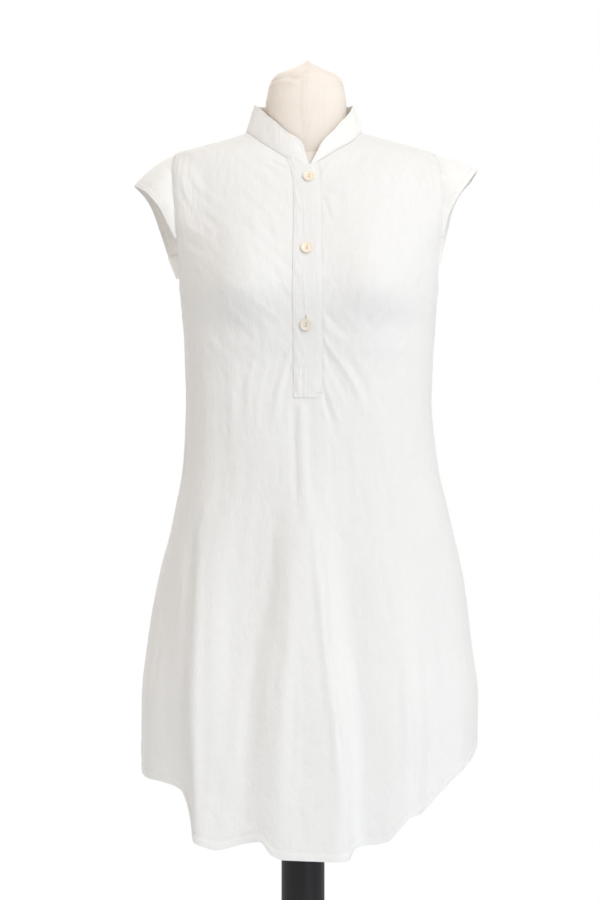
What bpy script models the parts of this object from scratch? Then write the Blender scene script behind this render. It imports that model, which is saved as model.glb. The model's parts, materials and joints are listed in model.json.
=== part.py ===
# Tunic top with cap sleeves on a limbless dress form, metres, +Z up, front towards -Y.
# The tunic is a stack of rings: t is the angle round a ring (0 at the centre front, 90 degrees at
# the side seam on +X, 180 at the centre back) and z its height. Every cloth piece is a grid of
# points on that surface, closed into a thin wall.

import math

import bmesh
import bpy
import numpy as np
from mathutils import Matrix, Vector

WALL = 0.0012
GAP = 0.0003
ARMPIT_Z = 1.195
TIP_Z = 1.3835
SHOULDER_Z = 1.4122
SLIT_HALF = 0.0165
SLIT_FOOT_Z = 1.072
PLACKET_FOOT_Z = 1.066
COLLAR_HEIGHT = 0.036
COLLAR_CORNER = 0.012
BUTTON_RADIUS = 0.0075
BUTTON_THICK = 0.003
BUTTON_HOLE = 0.0011
POLE_RADIUS = 0.028
BASE_RADIUS = 0.185
BASE_HEIGHT = 0.018
SOCKET_RADIUS = 0.036
SOCKET_TOP_Z = 0.042
FORM_FOOT_Z = 0.70

# Tunic rings: height, centre x, half width, front depth, back depth, squareness
RINGS = (
    (0.4500, 0.0070, 0.2085, 0.1550, 0.148, 2.15),
    (0.6000, 0.0086, 0.2168, 0.1520, 0.147, 2.15),
    (0.6750, 0.0095, 0.2178, 0.1490, 0.144, 2.20),
    (0.7530, 0.0091, 0.2087, 0.1410, 0.138, 2.25),
    (0.8310, 0.0104, 0.1970, 0.1310, 0.130, 2.30),
    (0.9090, 0.0110, 0.1794, 0.1220, 0.115, 2.40),
    (0.9870, 0.0098, 0.1638, 0.1150, 0.105, 2.50),
    (1.0650, 0.0078, 0.1586, 0.1120, 0.099, 2.60),
    (1.1040, 0.0081, 0.1596, 0.1110, 0.100, 2.60),
    (1.1430, 0.0081, 0.1622, 0.1130, 0.104, 2.60),
    (1.1950, 0.0075, 0.1661, 0.1130, 0.108, 2.60),
    (1.2700, 0.0075, 0.1750, 0.1020, 0.107, 2.60),
    (1.3300, 0.0065, 0.1780, 0.0830, 0.096, 2.60),
    (1.3600, 0.0045, 0.1765, 0.0670, 0.085, 2.50),
    (1.3835, 0.0026, 0.1690, 0.0500, 0.074, 2.40),
    (1.3935, 0.0037, 0.1376, 0.0385, 0.070, 2.35),
    (1.4005, 0.0037, 0.1116, 0.0310, 0.068, 2.30),
    (1.4092, 0.0020, 0.0828, 0.0220, 0.0655, 2.25),
    (1.4122, 0.0010, 0.0750, 0.0190, 0.0640, 2.20),
    (1.4228, 0.0010, 0.0600, 0.0140, 0.0595, 2.10),
    (1.4330, 0.0010, 0.0500, 0.0100, 0.0490, 2.10),
)

# Fullness of the chest: x from the centre, height, reach out, spread in x, spread up, spread down
CHEST = (
    (-0.082, 1.205, 0.021, 0.047, 0.085, 0.052),
    (0.082, 1.205, 0.021, 0.047, 0.085, 0.052),
    (0.0, 1.200, 0.009, 0.050, 0.080, 0.050),
)

# Flutes and hollows of the skirt: angle at z 1.05, at 0.80 and at 0.50, top height, height where
# full, reach out (hollow if negative), half width, lean along the ring
FLUTES = (
    (-54.0, -37.0, -30.0, 1.050, 0.62, 0.0210, 0.030, -0.022),
    (-7.0, -21.5, -25.0, 1.070, 0.62, -0.0090, 0.030, 0.0),
    (-3.0, -9.0, -9.5, 1.066, 0.60, 0.0160, 0.030, 0.0),
    (0.0, 2.0, 3.8, 1.066, 0.58, 0.0280, 0.030, 0.024),
    (9.0, 12.5, 16.5, 1.050, 0.60, -0.0120, 0.026, 0.0),
    (38.0, 34.0, 32.0, 0.930, 0.60, 0.0120, 0.027, 0.010),
    (45.0, 43.0, 41.0, 0.930, 0.62, -0.0070, 0.024, 0.0),
    (62.0, 59.0, 55.0, 0.950, 0.60, 0.0050, 0.030, 0.0),
    (-80.0, -72.0, -62.0, 0.900, 0.60, 0.0050, 0.026, 0.0),
    (112.0, 112.0, 110.0, 0.960, 0.62, 0.0100, 0.030, 0.010),
    (126.0, 127.0, 127.0, 0.980, 0.62, -0.0100, 0.028, 0.0),
    (146.0, 147.0, 148.0, 1.040, 0.62, 0.0200, 0.031, -0.016),
    (166.0, 165.0, 164.0, 1.020, 0.62, -0.0120, 0.030, 0.0),
    (184.0, 183.0, 181.0, 1.050, 0.60, 0.0240, 0.032, 0.018),
    (202.0, 200.0, 199.0, 1.020, 0.62, -0.0120, 0.030, 0.0),
    (222.0, 219.0, 217.0, 1.030, 0.62, 0.0200, 0.031, 0.016),
    (238.0, 236.0, 235.0, 0.980, 0.62, -0.0100, 0.028, 0.0),
    (254.0, 252.0, 251.0, 0.950, 0.62, 0.0100, 0.030, 0.0),
)

# Height of the hem by angle, front then back
HEM_FRONT = (
    (-90, 0.583), (-75, 0.583), (-62, 0.5825), (-53, 0.580), (-46, 0.574), (-41, 0.550),
    (-36.5, 0.518), (-29.5, 0.5085), (-26.5, 0.5045), (-22, 0.5105), (-19.5, 0.5140),
    (-15.5, 0.5170), (-12.5, 0.503), (-9, 0.497), (0, 0.4965), (8, 0.497), (12, 0.504),
    (16, 0.508), (25, 0.514), (28, 0.530), (31, 0.545), (37, 0.548), (41.5, 0.552),
    (46.5, 0.566), (52, 0.583), (58, 0.5945), (66.5, 0.6035), (72, 0.608), (84, 0.619),
    (90, 0.622),
)
HEM_BACK = (
    (90, 0.622), (104, 0.606), (120, 0.580), (140, 0.540), (160, 0.508), (180, 0.500),
    (200, 0.508), (220, 0.536), (240, 0.568), (256, 0.580), (270, 0.583),
)

# Neckline of the tunic and neck base of the form, seen from above: half width, front depth, back
# depth, squareness in front and behind
NECKLINE = (0.0750, 0.0655, 0.0600, 1.6, 2.1)
NECK_BASE = (0.0580, 0.0500, 0.0500, 2.0, 2.0)

# Armhole stations from the armpit (0) to the shoulder tip (1), its reach in degrees and how far the
# cloth beside it is held forward and back
ARM_STATIONS = (0.0, 0.02, 0.07, 0.16, 0.26, 0.40, 0.52, 0.64, 0.75, 0.84, 0.91, 0.96, 0.99, 1.0)
ARM_REACH_FRONT = 23.0
ARM_REACH_BACK = 25.0
ARM_FLARE_FRONT = 0.015
ARM_FLARE_BACK = 0.010

# Rows of the panels below the armpit, as a share of the way up from the hem, and rows from the
# shoulder tip to the neckline
SKIRT_ROWS_FRONT = (
    0.0, 0.045, 0.09, 0.14, 0.19, 0.24, 0.295, 0.35, 0.405, 0.46, 0.515, 0.57, 0.62, 0.67, 0.72,
    0.77,
)
SKIRT_ROWS_BACK = (
    0.0, 0.05, 0.11, 0.17, 0.23, 0.29, 0.36, 0.43, 0.50, 0.57, 0.64, 0.71, 0.78, 0.85, 0.92,
)
SHOULDER_ROWS = (0.90, 0.95, 1.0)
ARM_ROWS_BACK = (0.0, 0.07, 0.16, 0.26, 0.40, 0.52, 0.64, 0.75, 0.84, 0.91, 0.96, 0.99, 1.0)
FRONT_SIDE_COLUMNS = 18
FRONT_MIDDLE_COLUMNS = 4
BACK_COLUMNS = 28

# Free edge of each cap sleeve from its front end over the shoulder to its back end: distance from
# the tunic's centre, y, height
SLEEVE_EDGE_LEFT = (
    (0.1715, -0.0505, 1.2710), (0.1800, -0.0530, 1.2880), (0.1910, -0.0520, 1.3100),
    (0.2100, -0.0380, 1.3320), (0.2250, 0.0, 1.3420), (0.2180, 0.0300, 1.3360),
    (0.2080, 0.0480, 1.3210), (0.1965, 0.0560, 1.2880), (0.1860, 0.0570, 1.2560),
    (0.1740, 0.0520, 1.2260),
)
SLEEVE_EDGE_RIGHT = (
    (0.1710, -0.0505, 1.2710), (0.1790, -0.0525, 1.3010), (0.1905, -0.0520, 1.3220),
    (0.2130, -0.0320, 1.3520), (0.2235, 0.0, 1.3640), (0.2160, 0.0300, 1.3520),
    (0.2040, 0.0470, 1.3400), (0.1915, 0.0540, 1.3170), (0.1835, 0.0560, 1.2850),
    (0.1735, 0.0520, 1.2450),
)
SLEEVE_BULGE_LEFT = 0.0080
SLEEVE_BULGE_RIGHT = 0.0050
SLEEVE_FRONT_STATION = 0.40
SLEEVE_BACK_STATION_LEFT = 0.16
SLEEVE_BACK_STATION_RIGHT = 0.26
SLEEVE_ROWS = 5
SLEEVE_WALL = 0.0015

# Placket strip: height, left edge and right edge measured from the tunic's centre
PLACKET_EDGES = (
    (1.060, -0.0190, 0.0085), (1.110, -0.0200, 0.0094), (1.190, -0.0208, 0.0104),
    (1.270, -0.0195, 0.0100), (1.330, -0.0185, 0.0100), (1.352, -0.0190, 0.0088),
    (1.366, -0.0230, 0.0040),
)
UNDER_EDGES = (-0.0162, 0.0162)

# Collar by angle from the centre front: lean towards the neck
COLLAR_LEAN = ((0, 0.0080), (40, 0.0090), (90, 0.0110), (140, 0.0050), (180, 0.0030))
COLLAR_LEFT_END = 1.15
COLLAR_RIGHT_END = 1.55
COLLAR_LEFT_SPREAD = -0.0095
COLLAR_RIGHT_SPREAD = 0.0190
COLLAR_LEFT_REACH = 0.045
COLLAR_RIGHT_REACH = 0.058
COLLAR_COLUMNS = 40
COLLAR_ROWS = 4

# Buttons: x from the tunic's centre, height
BUTTONS = ((0.0016, 1.3455), (-0.0030, 1.2526), (-0.0045, 1.1570))

# Clearance of the form inside the cloth: height, at the side, in front, behind
FORM_CLEARANCE = (
    (0.700, 0.0550, 0.0500, 0.0360), (0.800, 0.0360, 0.0290, 0.0180),
    (0.900, 0.0220, 0.0210, 0.0070), (1.000, 0.0300, 0.0250, 0.0110),
    (1.060, 0.0350, 0.0260, 0.0130), (1.120, 0.0290, 0.0190, 0.0130),
    (1.180, 0.0220, 0.0120, 0.0110), (1.250, 0.0190, 0.0060, 0.0050),
    (1.300, 0.0180, 0.0030, 0.0020), (1.340, 0.0150, 0.0014, 0.0010),
    (1.365, 0.0120, 0.0010, 0.0006), (1.3835, 0.0030, 0.0008, 0.0004),
    (1.3935, 0.0004, 0.0007, 0.0004), (1.4092, 0.0004, 0.0012, 0.0009),
    (1.4245, 0.0010, 0.0030, 0.0020),
)
FORM_SEAT = 0.00045
FORM_ROWS = (0.70, 0.76, 0.82, 0.88, 0.94, 1.00, 1.05, 1.10, 1.15)
FORM_UPPER_ROWS = (0.0, 0.14, 0.28, 0.42, 0.55, 0.66, 0.75, 0.82, 0.87, 0.91, 0.95, 1.0)
FORM_COLUMNS = 40
# Neck of the form above its base: height, centre x, half width, depth, centre y
NECK_RINGS = (
    (1.452, 0.0040, 0.0525, 0.0500, -0.003), (1.468, 0.0040, 0.0490, 0.0480, -0.003),
    (1.477, 0.0045, 0.0465, 0.0460, -0.003), (1.485, 0.0045, 0.0405, 0.0405, -0.003),
    (1.4925, 0.0045, 0.0260, 0.0260, -0.003), (1.4985, 0.0055, 0.0130, 0.0130, -0.003),
    (1.5025, 0.0060, 0.0050, 0.0050, -0.003),
)
NECK_PEAK = (0.0065, -0.003, 1.5055)


def curve(table, x, column=1):
    # Value of one column of a table at x: a smooth curve that never overshoots its rows.
    xs = np.array([row[0] for row in table], dtype=float)
    ys = np.array([row[column] for row in table], dtype=float)
    step = np.diff(xs)
    slope = np.diff(ys) / step
    tangent = np.zeros_like(ys)
    tangent[0] = slope[0]
    tangent[-1] = slope[-1]
    same = slope[:-1] * slope[1:] > 0
    w1 = 2 * step[1:] + step[:-1]
    w2 = step[1:] + 2 * step[:-1]
    safe0 = np.where(same, slope[:-1], 1.0)
    safe1 = np.where(same, slope[1:], 1.0)
    tangent[1:-1] = np.where(same, (w1 + w2) / (w1 / safe0 + w2 / safe1), 0.0)
    x = np.clip(np.asarray(x, dtype=float), xs[0], xs[-1])
    i = np.clip(np.searchsorted(xs, x, side="right") - 1, 0, len(xs) - 2)
    h = step[i]
    s = (x - xs[i]) / h
    a = ys[i] * (1 + 2 * s) * (1 - s) ** 2 + tangent[i] * h * s * (1 - s) ** 2
    b = ys[i + 1] * s * s * (3 - 2 * s) + tangent[i + 1] * h * s * s * (s - 1)
    return a + b


def ease(x):
    # 0 below 0, 1 above 1, and a smooth step between.
    x = np.clip(x, 0.0, 1.0)
    return x * x * (3 - 2 * x)


def wrap(angle):
    # Angle brought between -180 and 180 degrees.
    return (angle + 180.0) % 360.0 - 180.0


def plan_cut(half, front, back, front_square, back_square):
    # Where an upright cut of the given plan meets the tunic's rings: angles from the centre front
    # and heights, found by halving.
    phi = np.radians(np.linspace(0.0, 180.0, 181))
    s = np.abs(np.sin(phi))
    c = np.cos(phi)
    square = np.where(c > 0, front_square, back_square)
    q = (s ** square + np.abs(c) ** square) ** (-1.0 / square)
    x = half * q * s
    y = np.where(c > 0, front, back) * q * np.abs(c)
    low = np.full_like(x, 1.355)
    high = np.full_like(x, 1.437)
    for _ in range(40):
        z = (low + high) / 2
        wide = curve(RINGS, z, 2)
        deep = np.where(c > 0, curve(RINGS, z, 3), curve(RINGS, z, 4))
        k = curve(RINGS, z, 5)
        outside = (x / wide) ** k + (y / deep) ** k > 1
        high = np.where(outside, z, high)
        low = np.where(outside, low, z)
    return np.degrees(np.arctan2(x / wide, np.sign(c) * y / deep)), z


NECKLINE_CUT = plan_cut(*NECKLINE)
NECK_BASE_CUT = plan_cut(*NECK_BASE)


def cut_height(cut, t):
    # Height of a cut line at angle t.
    return np.interp(np.abs(wrap(t)), cut[0], cut[1])


def ring(t, z):
    # Point of the tunic's smooth body at angle t in degrees and height z: a squared ellipse,
    # pushed forward by the fullness of the chest.
    t, z = np.broadcast_arrays(np.asarray(t, dtype=float), np.asarray(z, dtype=float))
    centre, half, front, back, square = (curve(RINGS, z, k) for k in range(1, 6))
    s = np.sin(np.radians(t))
    c = np.cos(np.radians(t))
    q = (np.abs(s) ** square + np.abs(c) ** square) ** (-1.0 / square)
    x = q * half * s
    y = -q * np.where(c > 0, front, back) * c
    push = np.zeros_like(x)
    for cx, cz, reach, wide, above, below in CHEST:
        tall = np.where(z > cz, above, below)
        push += reach * np.exp(-(((x - cx) / wide) ** 2) - ((z - cz) / tall) ** 2)
    y = y - push * ease(c / 0.35)
    return np.stack([centre + x, y, z], axis=-1)


def cloth(t, z):
    # Point of the draped tunic: the smooth body moved out and along by each flute.
    t, z = np.broadcast_arrays(np.asarray(t, dtype=float), np.asarray(z, dtype=float))
    p = ring(t, z)
    step = 0.02
    along = (ring(t + step, z) - ring(t - step, z))[..., :2] / (2 * step)
    speed = np.linalg.norm(along, axis=-1)
    along = along / speed[..., None]
    out = np.stack([along[..., 1], -along[..., 0]], axis=-1)
    rise = np.zeros_like(z)
    slide = np.zeros_like(z)
    for high, middle, low, top, full, reach, width, lean in FLUTES:
        k = (1.05 - z) / 0.55
        path = high * (1 - k) * (1 - k / 0.4545) + middle * k * (1 - k) / (0.4545 * 0.5455)
        path = path + low * k * (k - 0.4545) / 0.5455
        grow = ease((top - z) / (top - full))
        near = grow * np.exp(-((wrap(t - path) * speed / width) ** 2))
        rise += reach * near
        slide += lean * near * grow
    p[..., :2] += out * rise[..., None] + along * slide[..., None]
    # The cloth beside each armhole runs on flat into its sleeve.
    a = np.abs(wrap(t))
    tall = ease((z - 1.235) / 0.07) * (1 - ease((z - 1.352) / 0.030))
    ahead = ARM_FLARE_FRONT * ease((a - 42.0) / 27.0) * (1 - ease((a - 80.0) / 10.0))
    behind = ARM_FLARE_BACK * ease((138.0 - a) / 25.0) * (1 - ease((100.0 - a) / 10.0))
    p[..., 1] += tall * (behind - ahead)
    return p


def normals(grid, outward):
    # Unit normals of a grid of points, turned to the side of the given direction.
    du = np.gradient(grid, axis=1)
    dv = np.gradient(grid, axis=0)
    n = np.cross(du, dv)
    n /= np.maximum(np.linalg.norm(n, axis=-1, keepdims=True), 1e-12)
    if np.sum(n * outward) < 0:
        n = -n
    return n


def skin(t, z):
    # Outward unit normal of the draped tunic, the same for every piece that meets there.
    du = cloth(t + 0.4, z) - cloth(t - 0.4, z)
    dv = cloth(t, z + 0.001) - cloth(t, z - 0.001)
    n = np.cross(du, dv)
    n /= np.linalg.norm(n, axis=-1, keepdims=True)
    p = cloth(t, z)
    return n * np.where(np.sum(n * away(p), axis=-1, keepdims=True) < 0, -1.0, 1.0)


def away(grid):
    # Horizontal direction from the axis of the figure to each point.
    d = grid * np.array([1.0, 1.0, 0.0])
    return d + np.array([0.0, 0.0, 0.02])


def paint(obj, rgb, rough, metal=0.0):
    # Plain material of the piece.
    mat = bpy.data.materials.new(obj.name)
    mat.use_nodes = True
    node = mat.node_tree.nodes["Principled BSDF"]
    node.inputs["Base Color"].default_value = (*rgb, 1.0)
    node.inputs["Roughness"].default_value = rough
    node.inputs["Metallic"].default_value = metal
    mat.diffuse_color = (*rgb, 1.0)
    obj.data.materials.append(mat)


def solid(name, points, faces, rgb, rough, metal=0.0):
    # One closed body from its points and faces, with its faces turned outwards.
    mesh = bpy.data.meshes.new(name)
    mesh.from_pydata([tuple(map(float, p)) for p in points], [], faces)
    obj = bpy.data.objects.new(name, mesh)
    bpy.context.scene.collection.objects.link(obj)
    bm = bmesh.new()
    bm.from_mesh(mesh)
    loose = [v for v in bm.verts if not v.link_faces]
    bmesh.ops.delete(bm, geom=loose, context="VERTS")
    bmesh.ops.recalc_face_normals(bm, faces=bm.faces)
    bmesh.ops.triangulate(bm, faces=bm.faces, quad_method="SHORT_EDGE")
    if bm.calc_volume(signed=True) < 0:
        bmesh.ops.reverse_faces(bm, faces=bm.faces)
    bm.to_mesh(mesh)
    bm.free()
    paint(obj, rgb, rough, metal)
    return obj


def wall(name, outer, inner, rgb, keep=None):
    # Thin wall between two matching grids; cells where keep is False are left open.
    rows, columns = outer.shape[:2]
    count = rows * columns
    if keep is None:
        keep = np.ones((rows - 1, columns - 1), dtype=bool)
    faces = []
    edges = {}
    for j in range(rows - 1):
        for i in range(columns - 1):
            if not keep[j, i]:
                continue
            a = j * columns + i
            loop = (a, a + 1, a + columns + 1, a + columns)
            faces.append(loop)
            faces.append(tuple(count + k for k in reversed(loop)))
            for k in range(4):
                edge = (loop[k], loop[(k + 1) % 4])
                if (edge[1], edge[0]) in edges:
                    del edges[(edge[1], edge[0])]
                else:
                    edges[edge] = True
    for a, b in edges:
        faces.append((b, a, count + a, count + b))
    points = np.concatenate([outer.reshape(-1, 3), inner.reshape(-1, 3)])
    return solid(name, points, faces, rgb, 0.85)


def stack(name, rings, rgb, rough, metal=0.0, top=None, foot=None):
    # Closed body from rings of equal count, with a flat or pointed cap at each end.
    rings = [np.asarray(r, dtype=float) for r in rings]
    count = len(rings[0])
    points = np.concatenate(rings)
    foot = rings[0].mean(axis=0) if foot is None else np.asarray(foot, dtype=float)
    top = rings[-1].mean(axis=0) if top is None else np.asarray(top, dtype=float)
    points = np.concatenate([points, foot[None], top[None]])
    low = len(points) - 2
    high = len(points) - 1
    faces = []
    for j in range(len(rings) - 1):
        for i in range(count):
            k = (i + 1) % count
            faces.append((j * count + i, j * count + k, (j + 1) * count + k, (j + 1) * count + i))
    last = (len(rings) - 1) * count
    for i in range(count):
        k = (i + 1) % count
        faces.append((k, i, low))
        faces.append((last + i, last + k, high))
    return solid(name, points, faces, rgb, rough, metal)


def arm_edge(station, reach):
    # Degrees by which the armhole edge stands back from the side line, and its height.
    span = np.abs(2 * np.asarray(station, dtype=float) - 1)
    back = reach * np.maximum(1 - span ** 2.4, 0.0) ** (1 / 2.4)
    return back, ARMPIT_Z + (TIP_Z - ARMPIT_Z) * np.asarray(station, dtype=float)


def panel_rows(skirt, stations):
    # Every row of a panel: part of it (0 skirt, 1 yoke), share of the way up, armhole station.
    rows = [(0, r, 0.0) for r in skirt]
    tall = SHOULDER_Z - ARMPIT_Z
    rows += [(1, (TIP_Z - ARMPIT_Z) * w / tall, w) for w in stations]
    rows += [(1, r, 1.0) for r in SHOULDER_ROWS]
    return rows


def seam_inset(z, depth_column):
    # Half the seam gap at the side line, in degrees.
    return math.degrees(GAP / 2 / float(curve(RINGS, z, depth_column)))


def front_angle(x, z):
    # Angle at which the smooth body passes x, measured from the tunic's centre, near the front.
    return np.degrees(np.arctan2(x, curve(RINGS, z, 2)))


def front_row(row, share):
    # Angle and height of the points of a front row; share runs from -1 to 1 between its edges.
    part, r, station = row
    flat = share * 90.0
    if part == 0:
        z = curve(HEM_FRONT, flat) * (1 - r) + ARMPIT_Z * r
    else:
        z = ARMPIT_Z + (cut_height(NECKLINE_CUT, flat) - ARMPIT_Z) * r
    back, height = arm_edge(station, ARM_REACH_FRONT)
    edge = 90.0 - float(back)
    if part == 0:
        edge -= seam_inset(0.7 if r < 0.5 else 1.1, 3)
    elif station in (0.0, 1.0):
        edge -= seam_inset(ARMPIT_Z + (SHOULDER_Z - ARMPIT_Z) * r, 3)
    return share * edge, z, edge


def back_row(row, share):
    # The same for the back, from the viewer's right side seam round to the left one.
    part, r, station = row
    flat = 180.0 + share * 90.0
    if part == 0:
        z = curve(HEM_BACK, flat) * (1 - r) + ARMPIT_Z * r
    else:
        z = ARMPIT_Z + (cut_height(NECKLINE_CUT, flat) - ARMPIT_Z) * r
    back, height = arm_edge(station, ARM_REACH_BACK)
    edge = 90.0 - float(back)
    if part == 0:
        edge -= seam_inset(0.7 if r < 0.5 else 1.1, 4)
    elif station in (0.0, 1.0):
        edge -= seam_inset(ARMPIT_Z + (SHOULDER_Z - ARMPIT_Z) * r, 4)
    return 180.0 + share * edge, z, edge


def slit_share(row, x):
    # Share of a front row at which it passes x near the centre front.
    share = np.full(np.shape(x), 0.05) * np.sign(x)
    for _ in range(6):
        t, z, edge = front_row(row, share)
        share = front_angle(np.asarray(x), z) / edge
    return share


def front_grid(rows):
    # Points and normals of the front panel: side strip, slit strip, side strip.
    grid = []
    for row in rows:
        left = float(slit_share(row, np.array([-SLIT_HALF]))[0])
        right = float(slit_share(row, np.array([SLIT_HALF]))[0])
        share = np.concatenate([
            np.linspace(-1.0, left, FRONT_SIDE_COLUMNS + 1)[:-1],
            np.linspace(left, right, FRONT_MIDDLE_COLUMNS + 1)[:-1],
            np.linspace(right, 1.0, FRONT_SIDE_COLUMNS + 1),
        ])
        grid.append(front_row(row, share)[:2])
    t, z = np.array(grid).transpose(1, 0, 2)
    return cloth(t, z), skin(t, z)


def back_grid(rows):
    # Points and normals of the back panel.
    share = np.linspace(-1.0, 1.0, BACK_COLUMNS + 1)
    grid = []
    for row in rows:
        grid.append(back_row(row, share)[:2])
    t, z = np.array(grid).transpose(1, 0, 2)
    return cloth(t, z), skin(t, z)


def placket(name, rows, left, right, columns, lift, foot_drop, rgb):
    # Strip on the front panel's own rows, between two edges and moved out by lift.
    grid = []
    for number, row in enumerate(rows):
        across = np.linspace(0.0, 1.0, columns + 1)
        t, z, _ = front_row(row, np.zeros(1))
        x = np.zeros(columns + 1)
        for _ in range(4):
            height = z if np.size(z) > 1 else np.full(columns + 1, float(z[0]))
            x = left(height) + (right(height) - left(height)) * across
            share = slit_share(row, np.where(np.abs(x) < 1e-6, 1e-6, x))
            t, z, _ = front_row(row, share)
        if number == 0:
            z = z + foot_drop
        if number == len(rows) - 1:
            z = z - GAP
        grid.append((t, z))
    t = np.array([g[0] for g in grid])
    z = np.array([g[1] for g in grid])
    points = cloth(t, z)
    n = skin(t, z)
    return wall(name, points + n * (lift + WALL), points + n * lift, rgb)


def front_frame(x, z):
    # Point and outward normal of the front at x from the tunic's centre and height z.
    t = float(front_angle(x, z))
    return cloth(t, z), skin(t, z)


def button(name, x, z, rgb):
    # Two-hole disc with a raised rim, seated on the placket.
    profile = (
        (0.0, 0.0055), (0.0004, 0.0072), (0.0015, BUTTON_RADIUS), (0.0026, 0.0073),
        (BUTTON_THICK, 0.0066), (0.0026, 0.0056), (0.0023, 0.0045),
    )
    rings = []
    for height, radius in profile:
        a = np.linspace(0, 2 * math.pi, 18, endpoint=False)
        rings.append(np.stack([radius * np.cos(a), radius * np.sin(a), np.full(18, height)], axis=1))
    disc = stack(name, rings, rgb, 0.35)
    for dy in (-0.0017, 0.0017):
        a = np.linspace(0, 2 * math.pi, 6, endpoint=False)
        hole = [
            np.stack([BUTTON_HOLE * np.cos(a), dy + BUTTON_HOLE * np.sin(a), np.full(6, h)], axis=1)
            for h in (-0.002, 0.005)
        ]
        cutter = stack("cutter", hole, rgb, 0.35)
        cut = disc.modifiers.new("hole", "BOOLEAN")
        cut.operation = "DIFFERENCE"
        cut.solver = "EXACT"
        cut.object = cutter
        depsgraph = bpy.context.evaluated_depsgraph_get()
        mesh = bpy.data.meshes.new_from_object(disc.evaluated_get(depsgraph))
        disc.modifiers.clear()
        disc.data = mesh
        bpy.data.objects.remove(cutter)
    p, n = front_frame(x, z)
    up = Vector((0, 0, 1))
    axis = Vector(n)
    side = up.cross(axis).normalized()
    rise = axis.cross(side).normalized()
    place = Matrix((side, rise, axis)).transposed().to_4x4()
    place.translation = Vector(p) + axis * (GAP + WALL + GAP + 0.00015)
    disc.data.transform(place)
    return disc


def sleeve(name, side, edge_table, front_station, back_station, bulge, rgb):
    # Cap from the armhole seam to its free edge, rounded up between them.
    front = [w for w in ARM_STATIONS if w >= front_station]
    back = [w for w in reversed(ARM_ROWS_BACK) if back_station <= w < 1.0]
    t = []
    z = []
    for w in front:
        reach, height = arm_edge(w, ARM_REACH_FRONT)
        t.append(side * (90.0 - float(reach)))
        z.append(float(height))
    for w in back:
        reach, height = arm_edge(w, ARM_REACH_BACK)
        t.append(side * (90.0 + float(reach)))
        z.append(float(height))
    t = np.array(t)
    z = np.array(z)
    seam = cloth(t, z)
    n = skin(t, z)
    run = np.gradient(seam, axis=0)
    run /= np.linalg.norm(run, axis=1, keepdims=True)
    beyond = np.cross(run, n)
    beyond /= np.linalg.norm(beyond, axis=1, keepdims=True)
    beyond *= np.sign(np.sum(beyond * np.array([side, 0.0, 0.0])))
    seam = seam + beyond * GAP
    length = np.concatenate([[0.0], np.cumsum(np.linalg.norm(np.diff(seam, axis=0), axis=1))])
    tip = length[len(front) - 1]
    table = np.array(edge_table)
    peak = int(np.argmax(table[:, 2]))
    lengths = np.concatenate(
        [[0.0], np.cumsum(np.linalg.norm(np.diff(table, axis=0), axis=1))]
    )
    place = np.where(
        length <= tip,
        length / tip * lengths[peak],
        lengths[peak] + (length - tip) / (length[-1] - tip) * (lengths[-1] - lengths[peak]),
    )
    rows = np.column_stack([lengths, table])
    free = np.stack([curve(rows, place, k) for k in (1, 2, 3)], axis=1)
    centre = curve(RINGS, free[:, 2], 1)
    free[:, 0] = centre + side * free[:, 0]
    w = np.linspace(0.0, 1.0, SLEEVE_ROWS + 1)[:, None, None]
    grid = seam * (1 - w) + free * w
    chord = free - seam
    wide = np.linalg.norm(chord, axis=1, keepdims=True)
    lift = np.cross(run, chord / wide)
    lift *= np.sign(np.sum(lift * n, axis=1, keepdims=True))
    lift /= np.maximum(np.linalg.norm(lift, axis=1, keepdims=True), 1e-9)
    grid = grid + lift * (bulge * np.minimum(wide / 0.05, 1.0)) * 4 * w * (1 - w)
    face = normals(grid, np.broadcast_to(n, grid.shape))
    face[0] = n
    return wall(name, grid, grid - face * SLEEVE_WALL, rgb)


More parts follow.
